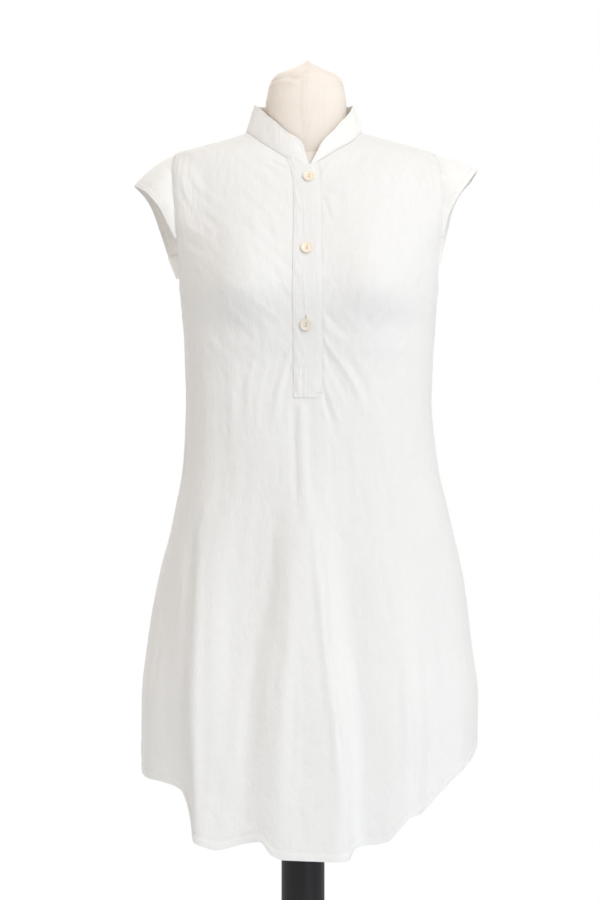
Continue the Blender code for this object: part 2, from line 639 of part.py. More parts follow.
def collar(name, rgb):
    # Band standing on the neckline, leaning in, with two rounded front ends that spread apart.
    turn = -(360.0 - COLLAR_RIGHT_END + COLLAR_LEFT_END)
    even = np.linspace(0.0, 1.0, COLLAR_COLUMNS + 1)
    fine = even - 0.055 * np.sin(2 * math.pi * even) / (2 * math.pi) * 4
    t_line = COLLAR_LEFT_END + turn * np.linspace(0, 1, 1441)
    line = cloth(t_line, cut_height(NECKLINE_CUT, t_line))
    length = np.concatenate([[0.0], np.cumsum(np.linalg.norm(np.diff(line, axis=0), axis=1))])
    total = length[-1]
    rows = []
    for j in range(COLLAR_ROWS + 1):
        w = j / COLLAR_ROWS
        up = w * COLLAR_HEIGHT
        over = max(0.0, up - (COLLAR_HEIGHT - COLLAR_CORNER))
        cut = COLLAR_CORNER - math.sqrt(max(COLLAR_CORNER ** 2 - over ** 2, 0.0))
        place = cut + (total - 2 * cut) * fine
        t = np.interp(place, length, t_line)
        p = cloth(t, cut_height(NECKLINE_CUT, t))
        ahead = cloth(t + 0.2, cut_height(NECKLINE_CUT, t + 0.2))
        behind = cloth(t - 0.2, cut_height(NECKLINE_CUT, t - 0.2))
        along = (ahead - behind)[:, :2]
        along /= np.linalg.norm(along, axis=1, keepdims=True)
        out = np.stack([along[:, 1], -along[:, 0]], axis=1)
        radial = p[:, :2] / np.linalg.norm(p[:, :2], axis=1, keepdims=True)
        inward = -(out + radial)
        inward /= np.linalg.norm(inward, axis=1, keepdims=True)
        lean = curve(COLLAR_LEAN, np.abs(wrap(t)))
        p[:, :2] += inward * (lean * w ** 1.2)[:, None]
        near_left = np.exp(-(place / COLLAR_LEFT_REACH) ** 2)
        near_right = np.exp(-((total - place) / COLLAR_RIGHT_REACH) ** 2)
        p[:, 0] += COLLAR_LEFT_SPREAD * near_left * w ** 0.9
        p[:, 0] += COLLAR_RIGHT_SPREAD * near_right * w ** 0.9
        p[:, 2] += up + 2 * GAP
        rows.append(p)
    grid = np.array(rows)
    face = normals(grid, away(grid))
    return wall(name, grid, grid - face * WALL, rgb)


def form_point(t, z):
    # Point of the form's torso: the tunic's smooth body moved in by wall, seat and clearance.
    t, z = np.broadcast_arrays(np.asarray(t, dtype=float), np.asarray(z, dtype=float))
    p = ring(t, z)
    du = ring(t + 0.5, z) - ring(t - 0.5, z)
    dv = ring(t, z + 0.0015) - ring(t, z - 0.0015)
    n = np.cross(du, dv)
    n /= np.linalg.norm(n, axis=-1, keepdims=True)
    n *= np.where(np.sum(n * away(p), axis=-1, keepdims=True) < 0, -1.0, 1.0)
    n[..., 2] *= ease((z - 1.24) / 0.08)
    n /= np.linalg.norm(n, axis=-1, keepdims=True)
    s2 = np.sin(np.radians(t)) ** 2
    face = np.where(
        np.cos(np.radians(t)) > 0, curve(FORM_CLEARANCE, z, 2), curve(FORM_CLEARANCE, z, 3)
    )
    clear = curve(FORM_CLEARANCE, z, 1) * s2 + face * (1 - s2)
    return p - n * (WALL + FORM_SEAT + clear)[..., None]


def form(rgb):
    # Torso and neck of the form: the neck stands on the torso along its tilted base line.
    t = np.linspace(0.0, 360.0, FORM_COLUMNS, endpoint=False)
    base = cut_height(NECK_BASE_CUT, t)
    rings = [form_point(t, z) for z in FORM_ROWS]
    rings += [form_point(t, ARMPIT_Z + (base - ARMPIT_Z) * r) for r in FORM_UPPER_ROWS]
    torso = stack("form_body", rings, rgb, 0.9)
    lowest = rings[-1] + np.array([0.0, 0.0, GAP])
    azimuth = np.arctan2(lowest[:, 0] - 0.004, -lowest[:, 1])
    level = []
    for z, cx, half, depth, cy in NECK_RINGS:
        level.append(np.stack(
            [cx + half * np.sin(azimuth), cy - depth * np.cos(azimuth), np.full(len(t), z)], axis=1
        ))
    neck = [lowest]
    for w in (0.3, 0.65):
        blend = lowest * (1 - w) + level[0] * w
        blend[:, :2] = lowest[:, :2] + (level[0] - lowest)[:, :2] * (1 - (1 - w) ** 2)
        neck.append(blend)
    neck += level
    head = stack(
        "form_neck", neck, rgb, 0.9, top=NECK_PEAK,
        foot=rings[-1].mean(axis=0) + np.array([0.0, 0.0, GAP]),
    )
    return torso, head


def turned(name, profile, rgb, rough, sides=32):
    # Round body about the pole's axis from rows of radius and height.
    a = np.linspace(0, 2 * math.pi, sides, endpoint=False)
    rings = [np.stack([r * np.cos(a), r * np.sin(a), np.full(sides, z)], axis=1) for r, z in profile]
    return stack(name, rings, rgb, rough)


for old in list(bpy.data.objects):
    bpy.data.objects.remove(old)

LINEN = (0.86, 0.85, 0.82)
CREAM = (0.80, 0.74, 0.64)
HORN = (0.78, 0.67, 0.50)
BLACK = (0.02, 0.02, 0.02)

# Front and back panels
hem_z = HEM_FRONT[14][1]
slit_rows = (
    (PLACKET_FOOT_Z - hem_z) / (ARMPIT_Z - hem_z), (SLIT_FOOT_Z - hem_z) / (ARMPIT_Z - hem_z),
)
upper_skirt = (0.868, 0.912, 0.956)
front_rows = panel_rows(SKIRT_ROWS_FRONT + slit_rows + upper_skirt, ARM_STATIONS)
front_points, front_skin = front_grid(front_rows)
front_keep = np.ones((front_points.shape[0] - 1, front_points.shape[1] - 1), dtype=bool)
slit_row = len(SKIRT_ROWS_FRONT) + 1
slit_columns = slice(FRONT_SIDE_COLUMNS, FRONT_SIDE_COLUMNS + FRONT_MIDDLE_COLUMNS)
front_keep[slit_row:, slit_columns] = False
wall("front_panel", front_points, front_points - front_skin * WALL, LINEN, front_keep)

back_points, back_skin = back_grid(panel_rows(SKIRT_ROWS_BACK, ARM_ROWS_BACK))
wall("back_panel", back_points, back_points - back_skin * WALL, LINEN)

# Cap sleeves
sleeve(
    "cap_sleeve_left", -1, SLEEVE_EDGE_LEFT, SLEEVE_FRONT_STATION, SLEEVE_BACK_STATION_LEFT,
    SLEEVE_BULGE_LEFT, LINEN,
)
sleeve(
    "cap_sleeve_right", 1, SLEEVE_EDGE_RIGHT, SLEEVE_FRONT_STATION, SLEEVE_BACK_STATION_RIGHT,
    SLEEVE_BULGE_RIGHT, LINEN,
)

# Collar
collar("collar", LINEN)

# Plackets: the under strip fills the slit, the over strip laps it and the panel
placket(
    "placket_over", front_rows[slit_row - 1:],
    lambda z: curve(PLACKET_EDGES, z, 1), lambda z: curve(PLACKET_EDGES, z, 2),
    3, GAP, 0.0, LINEN,
)
placket(
    "placket_under", front_rows[slit_row:],
    lambda z: UNDER_EDGES[0] + 0.0 * z, lambda z: UNDER_EDGES[1] + 0.0 * z,
    4, -WALL, GAP, LINEN,
)

# Buttons
for number, (bx, bz) in enumerate(BUTTONS, start=1):
    button(f"button_{number}", bx, bz, HORN)

# Dress form, pole and base
form(CREAM)
turned("pole", ((POLE_RADIUS, SOCKET_TOP_Z + GAP), (POLE_RADIUS, FORM_FOOT_Z - GAP)), BLACK, 0.4)
turned(
    "base",
    (
        (BASE_RADIUS - 0.004, 0.0), (BASE_RADIUS, 0.004), (BASE_RADIUS, BASE_HEIGHT - 0.007),
        (BASE_RADIUS - 0.002, BASE_HEIGHT - 0.003), (BASE_RADIUS - 0.007, BASE_HEIGHT),
        (SOCKET_RADIUS + 0.004, BASE_HEIGHT + 0.002), (SOCKET_RADIUS, BASE_HEIGHT + 0.006),
        (SOCKET_RADIUS, SOCKET_TOP_Z - 0.003), (SOCKET_RADIUS - 0.003, SOCKET_TOP_Z),
    ),
    BLACK, 0.4,
)
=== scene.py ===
import json
import math

import bpy
import numpy as np
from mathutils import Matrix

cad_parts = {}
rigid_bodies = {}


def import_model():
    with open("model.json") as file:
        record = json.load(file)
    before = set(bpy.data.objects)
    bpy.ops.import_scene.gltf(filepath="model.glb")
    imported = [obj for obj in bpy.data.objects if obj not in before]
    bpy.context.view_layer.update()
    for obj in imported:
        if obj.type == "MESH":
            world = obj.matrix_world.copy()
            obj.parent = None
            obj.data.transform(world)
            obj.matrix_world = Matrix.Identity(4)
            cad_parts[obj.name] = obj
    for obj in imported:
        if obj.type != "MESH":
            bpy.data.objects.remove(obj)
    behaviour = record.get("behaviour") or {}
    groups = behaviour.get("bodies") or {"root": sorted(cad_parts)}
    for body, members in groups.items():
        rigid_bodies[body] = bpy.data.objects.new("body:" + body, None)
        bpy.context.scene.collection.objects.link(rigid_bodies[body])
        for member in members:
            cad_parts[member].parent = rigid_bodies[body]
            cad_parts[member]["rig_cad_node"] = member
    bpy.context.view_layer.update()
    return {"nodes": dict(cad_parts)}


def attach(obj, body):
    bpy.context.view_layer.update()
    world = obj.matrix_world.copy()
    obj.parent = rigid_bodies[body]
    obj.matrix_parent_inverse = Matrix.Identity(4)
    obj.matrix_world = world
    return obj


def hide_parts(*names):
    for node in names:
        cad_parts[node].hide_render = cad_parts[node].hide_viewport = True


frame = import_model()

print("frame loaded:", len(frame["nodes"]), "nodes")


# ---- camera, floor and light

view = {
    "place": (-0.0039, -3.0, 1.0),      # metres, level with the waist
    "lens": 36 * 3.0 / 1.17,
    "sensor": 36,
    "backdrop": (1.0, 1.0, 1.0),
    "ambient": (1.0, 0.952, 0.900),
    "ambientStrength": 0.69,
    "floorRadius": 1.9,
}

# name: place, aim, width, height, watts, colour
lamps = {
    "windowRight": ((1.5, -2.3, 2.8), (0.0, 0.0, 1.0), 1.4, 1.8, 52.0, (0.945, 0.975, 1.0)),
    "warmLeft": ((-2.6, -1.2, 1.9), (0.0, 0.0, 1.1), 1.6, 1.2, 7.5, (1.0, 0.90, 0.77)),
    "lowRight": ((1.4, -2.2, 0.20), (0.10, 0.0, 0.62), 1.2, 0.5, 4.5, (0.70, 0.87, 1.0)),
    "backLight": ((-0.6, 2.4, 3.0), (0.0, 0.0, 1.2), 1.8, 1.8, 40.0, (1.0, 0.97, 0.93)),
}


def aimed(place, aim):
    # Turn that points an object's -Z from place to aim.
    a = np.array(aim) - np.array(place)
    flat = math.hypot(a[0], a[1])
    return (math.atan2(flat, -a[2]), 0.0, math.atan2(-a[0], a[1]) if flat > 1e-9 else 0.0)


def makeCamera():
    data = bpy.data.cameras.new("camera")
    data.sensor_fit = "VERTICAL"
    data.sensor_height = view["sensor"]
    data.lens = view["lens"]
    data.clip_end = 50
    cameraObject = bpy.data.objects.new("camera", data)
    cameraObject.location = view["place"]
    cameraObject.rotation_euler = (math.pi / 2, 0, 0)
    bpy.context.scene.collection.objects.link(cameraObject)
    bpy.context.scene.camera = cameraObject


def makeLights():
    for name, (place, aim, wide, tall, watts, colour) in lamps.items():
        data = bpy.data.lights.new(name, "AREA")
        data.shape = "RECTANGLE"
        data.size = wide
        data.size_y = tall
        data.energy = watts
        data.color = colour
        lamp = bpy.data.objects.new(name, data)
        lamp.location = place
        lamp.rotation_euler = aimed(place, aim)
        bpy.context.scene.collection.objects.link(lamp)


def makeWorld():
    # A plain white backdrop that lights the object less than it shows.
    world = bpy.data.worlds.new("studio")
    world.use_nodes = True
    nodes = world.node_tree.nodes
    links = world.node_tree.links
    nodes.clear()
    seen = nodes.new("ShaderNodeBackground")
    seen.inputs["Color"].default_value = (*view["backdrop"], 1.0)
    lit = nodes.new("ShaderNodeBackground")
    lit.inputs["Color"].default_value = (*view["ambient"], 1.0)
    lit.inputs["Strength"].default_value = view["ambientStrength"]
    mix = nodes.new("ShaderNodeMixShader")
    links.new(nodes.new("ShaderNodeLightPath").outputs["Is Camera Ray"], mix.inputs[0])
    links.new(lit.outputs[0], mix.inputs[1])
    links.new(seen.outputs[0], mix.inputs[2])
    links.new(mix.outputs[0], nodes.new("ShaderNodeOutputWorld").inputs[0])
    bpy.context.scene.world = world
    bpy.context.scene.view_settings.view_transform = "Standard"


makeCamera()
makeLights()
makeWorld()
print("camera and lights set")


# ---- materials: a socket that can be used in sums, and a finish that holds the nodes

class Wire:
    # One socket of a finish. Sums and products of wires and numbers add Math nodes.
    def __init__(self, finish, socket):
        self.finish = finish
        self.socket = socket

    def maths(self, operation, first, second=None):
        values = {0: first} if second is None else {0: first, 1: second}
        return self.finish.node("ShaderNodeMath", {"operation": operation}, values)

    def __add__(self, other):
        return self.maths("ADD", self, other)

    def __radd__(self, other):
        return self.maths("ADD", other, self)

    def __sub__(self, other):
        return self.maths("SUBTRACT", self, other)

    def __rsub__(self, other):
        return self.maths("SUBTRACT", other, self)

    def __mul__(self, other):
        return self.maths("MULTIPLY", self, other)

    def __rmul__(self, other):
        return self.maths("MULTIPLY", other, self)

    def __truediv__(self, other):
        return self.maths("DIVIDE", self, other)

    def wave(self):
        return self.maths("SINE", self)

    def least(self, other):
        return self.maths("MINIMUM", self, other)

    def most(self, other):
        return self.maths("MAXIMUM", self, other)

    def size(self):
        return self.maths("ABSOLUTE", self)


class Finish:
    # A material whose nodes are added by kind, settings and the values or wires of their sockets.
    def __init__(self, name, **constants):
        self.material = bpy.data.materials.new(name)
        self.material.use_nodes = True
        self.tree = self.material.node_tree
        self.shader = self.tree.nodes["Principled BSDF"]
        for socket, value in constants.items():
            self.shader.inputs[socket.replace("_", " ")].default_value = value

    def node(self, kind, settings=None, values=None, output=0):
        made = self.tree.nodes.new(kind)
        for key, value in (settings or {}).items():
            if key == "stops":
                for stop, (place, colour) in zip(made.color_ramp.elements, value):
                    stop.position = place
                    stop.color = colour
            else:
                setattr(made, key, value)
        for socket, value in (values or {}).items():
            if isinstance(value, Wire):
                self.tree.links.new(value.socket, made.inputs[socket])
            else:
                made.inputs[socket].default_value = value
        return Wire(self, made.outputs[output])

    def feed(self, socket, wire):
        self.tree.links.new(wire.socket, self.shader.inputs[socket])

    def scaled(self, source, scale, turn=0.0):
        values = {"Vector": source, "Scale": scale, "Rotation": (0.0, 0.0, turn)}
        return self.node("ShaderNodeMapping", None, values)

    def noise(self, vector, scale, detail=2.0, rough=0.5):
        values = {"Vector": vector, "Scale": scale, "Detail": detail, "Roughness": rough}
        return self.node("ShaderNodeTexNoise", None, values)

    def blend(self, share, first, second):
        # Mix of two colours, given as colours or wires, by a wire or a number.
        values = {0: share, 6: first, 7: second}
        return self.node("ShaderNodeMix", {"data_type": "RGBA"}, values, 2)

    def bump(self, height, distance, strength=1.0):
        values = {"Height": height, "Distance": distance, "Strength": strength}
        self.feed("Normal", self.node("ShaderNodeBump", None, values))


linenLook = {
    "thread": 0.00062,          # metres from thread to thread
    "threadDepth": 0.00009,
    "slubDepth": 0.00012,
    "crinkle": 0.013,           # metres across a crinkle
    "crinkleDepth": 0.0019,
    "white": (0.900, 0.890, 0.874, 1.0),
    "shade": (0.850, 0.838, 0.818, 1.0),
}


def linenFinish(name, crinkle=1.0, turn=0.0, lighter=1.0):
    # Plain weave: crossed threads, thick and thin places along both, and soft crinkle.
    look = linenLook
    cloth = Finish(
        name, Roughness=0.86, Sheen_Weight=0.15, Sheen_Roughness=0.45, IOR=1.42,
        Subsurface_Weight=0.35, Subsurface_Radius=(1.0, 0.93, 0.86), Subsurface_Scale=0.004,
    )
    uv = cloth.node("ShaderNodeUVMap", {"uv_map": "cloth"})
    across = cloth.node("ShaderNodeSeparateXYZ", None, {0: uv}, 0)
    upward = cloth.node("ShaderNodeSeparateXYZ", None, {0: uv}, 1)
    pitch = 2 * math.pi / look["thread"]
    wander = cloth.noise(uv, 260.0, 2.0) - 0.5
    warp = (across * pitch + wander * 5.0).wave()
    weft = (upward * pitch + wander * 5.0).wave()
    weave = (warp * weft) * 0.5 + 0.5
    slubAcross = cloth.noise(cloth.scaled(uv, (60.0, 1500.0, 1.0)), 1.0, 2.0)
    slubUp = cloth.noise(cloth.scaled(uv, (1500.0, 60.0, 1.0)), 1.0, 2.0)
    slub = slubAcross.most(slubUp)
    folds = cloth.noise(cloth.scaled(uv, (1.35, 0.62, 1.0), turn), 1.0 / look["crinkle"], 5.0, 0.62)
    clouds = cloth.noise(uv, 14.0, 4.0, 0.6)
    tone = (slub - 0.45) * 0.9 + (clouds - 0.5) * 0.6
    white, shade = (tuple(v * lighter for v in look[k][:3]) + (1.0,) for k in ("white", "shade"))
    cloth.feed("Base Color", cloth.blend(tone.most(0.0).least(1.0), white, shade))
    cloth.feed("Roughness", 0.80 + slub * 0.16)
    height = weave * look["threadDepth"] + slub * look["slubDepth"]
    height = height + folds * (look["crinkleDepth"] * crinkle)
    cloth.bump(height, 1.0, 0.85)
    return cloth.material


def threadFinish(name, colour):
    # Twisted sewing thread, and the dark beads of painted shade along the buttonhole slits.
    thread = Finish(name, Roughness=0.6, Sheen_Weight=0.15)
    place = thread.node("ShaderNodeTexCoord", None, None, 3)
    twist = thread.noise(place, 2600.0, 1.0)
    dark = tuple(c * 0.9 for c in colour)
    thread.feed("Base Color", thread.blend(twist, (*colour, 1.0), (*dark, 1.0)))
    thread.bump(twist, 0.00008, 0.6)
    return thread.material


def coverFinish(name):
    # Knitted cream cover: fine loops, a little pilling and uneven tone.
    cover = Finish(name, Roughness=0.9, Sheen_Weight=0.18, Sheen_Roughness=0.5)
    place = cover.node("ShaderNodeTexCoord", None, None, 3)
    loops = cover.noise(cover.scaled(place, (1.0, 1.0, 1.6)), 1150.0, 1.0)
    pills = cover.noise(place, 170.0, 4.0, 0.6)
    clouds = cover.noise(place, 16.0, 3.0)
    tone = (clouds - 0.5) * 0.9 + pills * 0.35
    cover.feed("Base Color", cover.blend(
        tone.most(0.0).least(1.0), (0.835, 0.770, 0.705, 1.0), (0.790, 0.715, 0.635, 1.0),
    ))
    cover.feed("Roughness", 0.84 + pills * 0.14)
    cover.bump(loops * 0.00018 + pills * 0.0004, 1.0, 0.8)
    return cover.material


def hornFinish(name, light, dark):
    # Natural horn: clouded streaks under a satin polish.
    horn = Finish(name, Roughness=0.32, Coat_Weight=0.25, Coat_Roughness=0.25)
    place = horn.node("ShaderNodeTexCoord", None, None, 3)
    streak = horn.noise(horn.scaled(place, (1.0, 1.0, 3.5)), 210.0, 4.0, 0.6)
    fine = horn.noise(place, 900.0, 2.0)
    horn.feed("Base Color", horn.blend(streak, light, dark))
    horn.feed("Roughness", 0.24 + fine * 0.2)
    horn.bump(streak * 0.00006 + fine * 0.00003, 1.0, 0.6)
    return horn.material


def standFinish(name):
    # Black satin paint with slight orange peel and dust.
    paint = Finish(name, Roughness=0.42, IOR=1.38)
    place = paint.node("ShaderNodeTexCoord", None, None, 3)
    peel = paint.noise(place, 520.0, 2.0)
    dust = paint.noise(place, 60.0, 6.0, 0.7)
    paint.feed("Base Color", paint.blend(dust, (0.009, 0.0085, 0.010, 1.0), (0.018, 0.017, 0.020, 1.0)))
    paint.feed("Roughness", 0.34 + dust * 0.2)
    paint.bump(peel, 0.00012, 0.35)
    return paint.material


def floorFinish(name):
    # Pale matt floor.
    floor = Finish(name, Roughness=0.9)
    place = floor.node("ShaderNodeTexCoord", None, None, 3)
    floor.feed("Base Color", floor.blend(
        floor.noise(place, 30.0, 3.0), (0.70, 0.76, 0.83, 1.0), (0.68, 0.74, 0.81, 1.0),
    ))
    return floor.material


finishes = {
    "linen": linenFinish("linen"),
    "linenSmooth": linenFinish("linenDouble", 0.55, 0.0, 1.03),
    "linenBias": linenFinish("linenBias", 0.9, 0.7),
    "thread": threadFinish("sewingThread", (0.88, 0.87, 0.85)),
    "buttonThread": threadFinish("buttonThread", (0.80, 0.76, 0.68)),
    "cover": coverFinish("coverKnit"),
    "coverThread": threadFinish("coverThread", (0.80, 0.72, 0.61)),
    "horn": hornFinish("buttonHorn", (0.92, 0.83, 0.70, 1.0), (0.80, 0.69, 0.54, 1.0)),
    "hornPale": hornFinish("buttonHornPale", (0.86, 0.79, 0.69, 1.0), (0.66, 0.60, 0.52, 1.0)),
    # the buttonhole slits: dark beads of painted shade in place of the shade inside each cut
    "slit": threadFinish("slitShade", (0.30, 0.28, 0.25)),
    "stand": standFinish("standPaint"),
    "floor": floorFinish("floorPaint"),
}
print("finishes made:", len(finishes))


# ---- meshes from arrays

def makeMesh(name, points, quads, tris=None, uv=None, rim=None, finish=None):
    # Object from points, four-sided and three-sided faces. A closed form whose faces point inwards
    # is turned. Only used points are kept, and the edges in rim are sharp.
    quads = np.asarray(quads, dtype=np.int64).reshape(-1, 4)
    tris = np.zeros((0, 3), dtype=np.int64) if tris is None else np.asarray(tris, dtype=np.int64)
    halves = np.concatenate([quads[:, [0, 1, 2]], quads[:, [0, 2, 3]], tris])
    a, b, c = (points[halves[:, k]] for k in range(3))
    if np.sum(a * np.cross(b, c)) < 0:
        quads = quads[:, ::-1]
        tris = tris[:, ::-1]
    corners = np.concatenate([quads.ravel(), tris.ravel()])
    used, inverse = np.unique(corners, return_inverse=True)
    inverse = inverse.reshape(-1).astype(np.int32)
    mesh = bpy.data.meshes.new(name)
    mesh.vertices.add(len(used))
    mesh.vertices.foreach_set("co", points[used].astype(np.float32).ravel())
    mesh.loops.add(len(inverse))
    mesh.loops.foreach_set("vertex_index", inverse)
    starts = np.concatenate([
        np.arange(len(quads)) * 4, len(quads) * 4 + np.arange(len(tris)) * 3,
    ]).astype(np.int32)
    mesh.polygons.add(len(starts))
    mesh.polygons.foreach_set("loop_start", starts)
    mesh.polygons.foreach_set("use_smooth", np.ones(len(starts), dtype=bool))
    mesh.update(calc_edges=True)
    if uv is not None:
        layer = mesh.uv_layers.new(name="cloth")
        layer.data.foreach_set("uv", uv[corners].astype(np.float32).ravel())
    if rim is not None and len(rim):
        place = np.full(len(points), -1, dtype=np.int64)
        place[used] = np.arange(len(used))
        ends = np.sort(place[rim], axis=1)
        pairs = np.empty(len(mesh.edges) * 2, dtype=np.int32)
        mesh.edges.foreach_get("vertices", pairs)
        pairs = np.sort(pairs.reshape(-1, 2).astype(np.int64), axis=1)
        sharp = np.isin(pairs[:, 0] * len(used) + pairs[:, 1], ends[:, 0] * len(used) + ends[:, 1])
        mark = mesh.attributes.new("sharp_edge", "BOOLEAN", "EDGE")
        mark.data.foreach_set("value", sharp)
    made = bpy.data.objects.new(name, mesh)
    bpy.context.scene.collection.objects.link(made)
    if finish is not None:
        mesh.materials.append(finishes[finish])
    return made


def cellQuads(rows, columns, wrap=False):
    # Corner numbers of each cell of a grid, row by row; wrap joins the last column to the first.
    j, i = np.meshgrid(np.arange(rows - 1), np.arange(columns if wrap else columns - 1), indexing="ij")
    k = (i + 1) % columns
    return np.stack([j * columns + i, j * columns + k, (j + 1) * columns + k, (j + 1) * columns + i], -1)


def shell(name, outer, facing, wall, finish, uv, keep=None):
    # Thin cloth between a grid of points and the same grid moved in by wall, with closed edges.
    rows, columns = outer.shape[:2]
    count = rows * columns
    quads = cellQuads(rows, columns)
    quads = quads[keep] if keep is not None else quads.reshape(-1, 4)
    ends = np.concatenate([quads[:, [k, (k + 1) % 4]] for k in range(4)])
    lone = ~np.isin(ends[:, 0] * count + ends[:, 1], ends[:, 1] * count + ends[:, 0])
    edge = ends[lone]
    side = np.stack([edge[:, 1], edge[:, 0], edge[:, 0] + count, edge[:, 1] + count], axis=1)
    points = np.concatenate([outer.reshape(-1, 3), (outer - facing * wall).reshape(-1, 3)])
    every = np.concatenate([quads, quads[:, ::-1] + count, side])
    both = np.concatenate([uv.reshape(-1, 2)] * 2)
    return makeMesh(name, points, every, None, both, np.concatenate([edge, edge + count]), finish)


def turnedForm(name, grid, finish, foot=None, top=None, rim=None):
    # Closed form from rows of rings, with a fan of faces to a point at each end.
    rows, columns = grid.shape[:2]
    foot = grid[0].mean(axis=0) if foot is None else np.asarray(foot, dtype=float)
    top = grid[-1].mean(axis=0) if top is None else np.asarray(top, dtype=float)
    points = np.concatenate([grid.reshape(-1, 3), foot[None], top[None]])
    i = np.arange(columns)
    k = (i + 1) % columns
    last = (rows - 1) * columns
    low = np.stack([k, i, np.full(columns, rows * columns)], axis=1)
    high = np.stack([last + i, last + k, np.full(columns, rows * columns + 1)], axis=1)
    edges = None
    if rim is not None:
        edges = np.concatenate([np.stack([r * columns + i, r * columns + k], axis=1) for r in rim])
    quads = cellQuads(rows, columns, True).reshape(-1, 4)
    return makeMesh(name, points, quads, np.concatenate([low, high]), None, edges, finish)


def stitches(name, runs, finish, thick=0.00030):
    # Beads of thread along each run. A run is (path, facing, pitch, length, turned): each stitch is
    # a six-sided bead from one point of the path to the next, or across the path where turned.
    share = np.array([0.0, 0.16, 0.5, 0.84, 1.0])
    swell = np.array([0.30, 0.95, 1.0, 0.95, 0.30])
    lift = np.array([-0.5, 0.45, 0.7, 0.45, -0.5])
    angle = np.linspace(0, 2 * math.pi, 6, endpoint=False)
    everyPoint = []
    everyQuad = []
    total = 0
    for path, facing, pitch, length, turned in runs:
        run = np.concatenate([[0.0], np.cumsum(np.linalg.norm(np.diff(path, axis=0), axis=1))])
        spots = np.arange(pitch * 0.6, run[-1] - pitch * 0.4, pitch)
        pick = lambda s, field: np.stack([np.interp(s, run, field[:, k]) for k in range(3)], axis=1)
        n = pick(spots, facing)
        n /= np.linalg.norm(n, axis=1, keepdims=True)
        start = pick(spots - length / 2, path)
        end = pick(spots + length / 2, path)
        along = end - start
        along /= np.maximum(np.linalg.norm(along, axis=1, keepdims=True), 1e-9)
        if turned:
            across = np.cross(along, n)
            start = pick(spots, path) - across * length / 2
            end = start + across * length
            along = across
        side = np.cross(along, n)
        middle = start[:, None] * (1 - share)[None, :, None] + end[:, None] * share[None, :, None]
        middle = middle + n[:, None] * (lift * thick)[None, :, None]
        reach = (swell * thick)[None, :, None, None]
        circle = np.cos(angle)[None, None, :, None] * side[:, None, None]
        circle = circle + np.sin(angle)[None, None, :, None] * n[:, None, None]
        bead = middle[:, :, None] + circle * reach
        count = len(spots)
        quads = cellQuads(5, 6, True).reshape(-1, 4)
        caps = np.array([[0, 5, 4, 3], [0, 3, 2, 1], [24, 25, 26, 27], [24, 27, 28, 29]])
        one = np.concatenate([quads, caps])
        everyQuad.append((one[None] + (total + np.arange(count) * 30)[:, None, None]).reshape(-1, 4))
        everyPoint.append(bead.reshape(-1, 3))
        total += count * 30
    return makeMesh(name, np.concatenate(everyPoint), np.concatenate(everyQuad), finish=finish)


# ---- the tunic's form, from the same named values as its solids

body = {
    "gap": 0.0003,
    "wall": 0.0009,
    "armpit": 1.195,
    "tip": 1.3835,
    "shoulder": 1.4122,
    "slitHalf": 0.01635,
    "slitFoot": 1.072,
    "placketFoot": 1.066,
    "reachFront": 23.0,
    "reachBack": 25.0,
    "flareFront": 0.015,
    "flareBack": 0.010,
}

# height, centre x, half width, front depth, back depth, squareness
rings = (
    (0.4500, 0.0070, 0.2085, 0.1550, 0.148, 2.15), (0.6000, 0.0086, 0.2168, 0.1520, 0.147, 2.15),
    (0.6750, 0.0095, 0.2178, 0.1490, 0.144, 2.20), (0.7530, 0.0091, 0.2087, 0.1410, 0.138, 2.25),
    (0.8310, 0.0104, 0.1970, 0.1310, 0.130, 2.30), (0.9090, 0.0110, 0.1794, 0.1220, 0.115, 2.40),
    (0.9870, 0.0098, 0.1638, 0.1150, 0.105, 2.50), (1.0650, 0.0078, 0.1586, 0.1120, 0.099, 2.60),
    (1.1040, 0.0081, 0.1596, 0.1110, 0.100, 2.60), (1.1430, 0.0081, 0.1622, 0.1130, 0.104, 2.60),
    (1.1950, 0.0075, 0.1661, 0.1130, 0.108, 2.60), (1.2700, 0.0075, 0.1750, 0.1020, 0.107, 2.60),
    (1.3300, 0.0065, 0.1780, 0.0830, 0.096, 2.60), (1.3600, 0.0045, 0.1765, 0.0670, 0.085, 2.50),
    (1.3835, 0.0026, 0.1690, 0.0500, 0.074, 2.40), (1.3935, 0.0037, 0.1376, 0.0385, 0.070, 2.35),
    (1.4005, 0.0037, 0.1116, 0.0310, 0.068, 2.30), (1.4092, 0.0020, 0.0828, 0.0220, 0.0655, 2.25),
    (1.4122, 0.0010, 0.0750, 0.0190, 0.0640, 2.20), (1.4228, 0.0010, 0.0600, 0.0140, 0.0595, 2.10),
    (1.4330, 0.0010, 0.0500, 0.0100, 0.0490, 2.10),
)

# x from the centre, height, reach out, spread in x, spread up, spread down
chest = (
    (-0.082, 1.205, 0.021, 0.047, 0.085, 0.052),
    (0.082, 1.205, 0.021, 0.047, 0.085, 0.052),
    (0.0, 1.200, 0.009, 0.050, 0.080, 0.050),
)

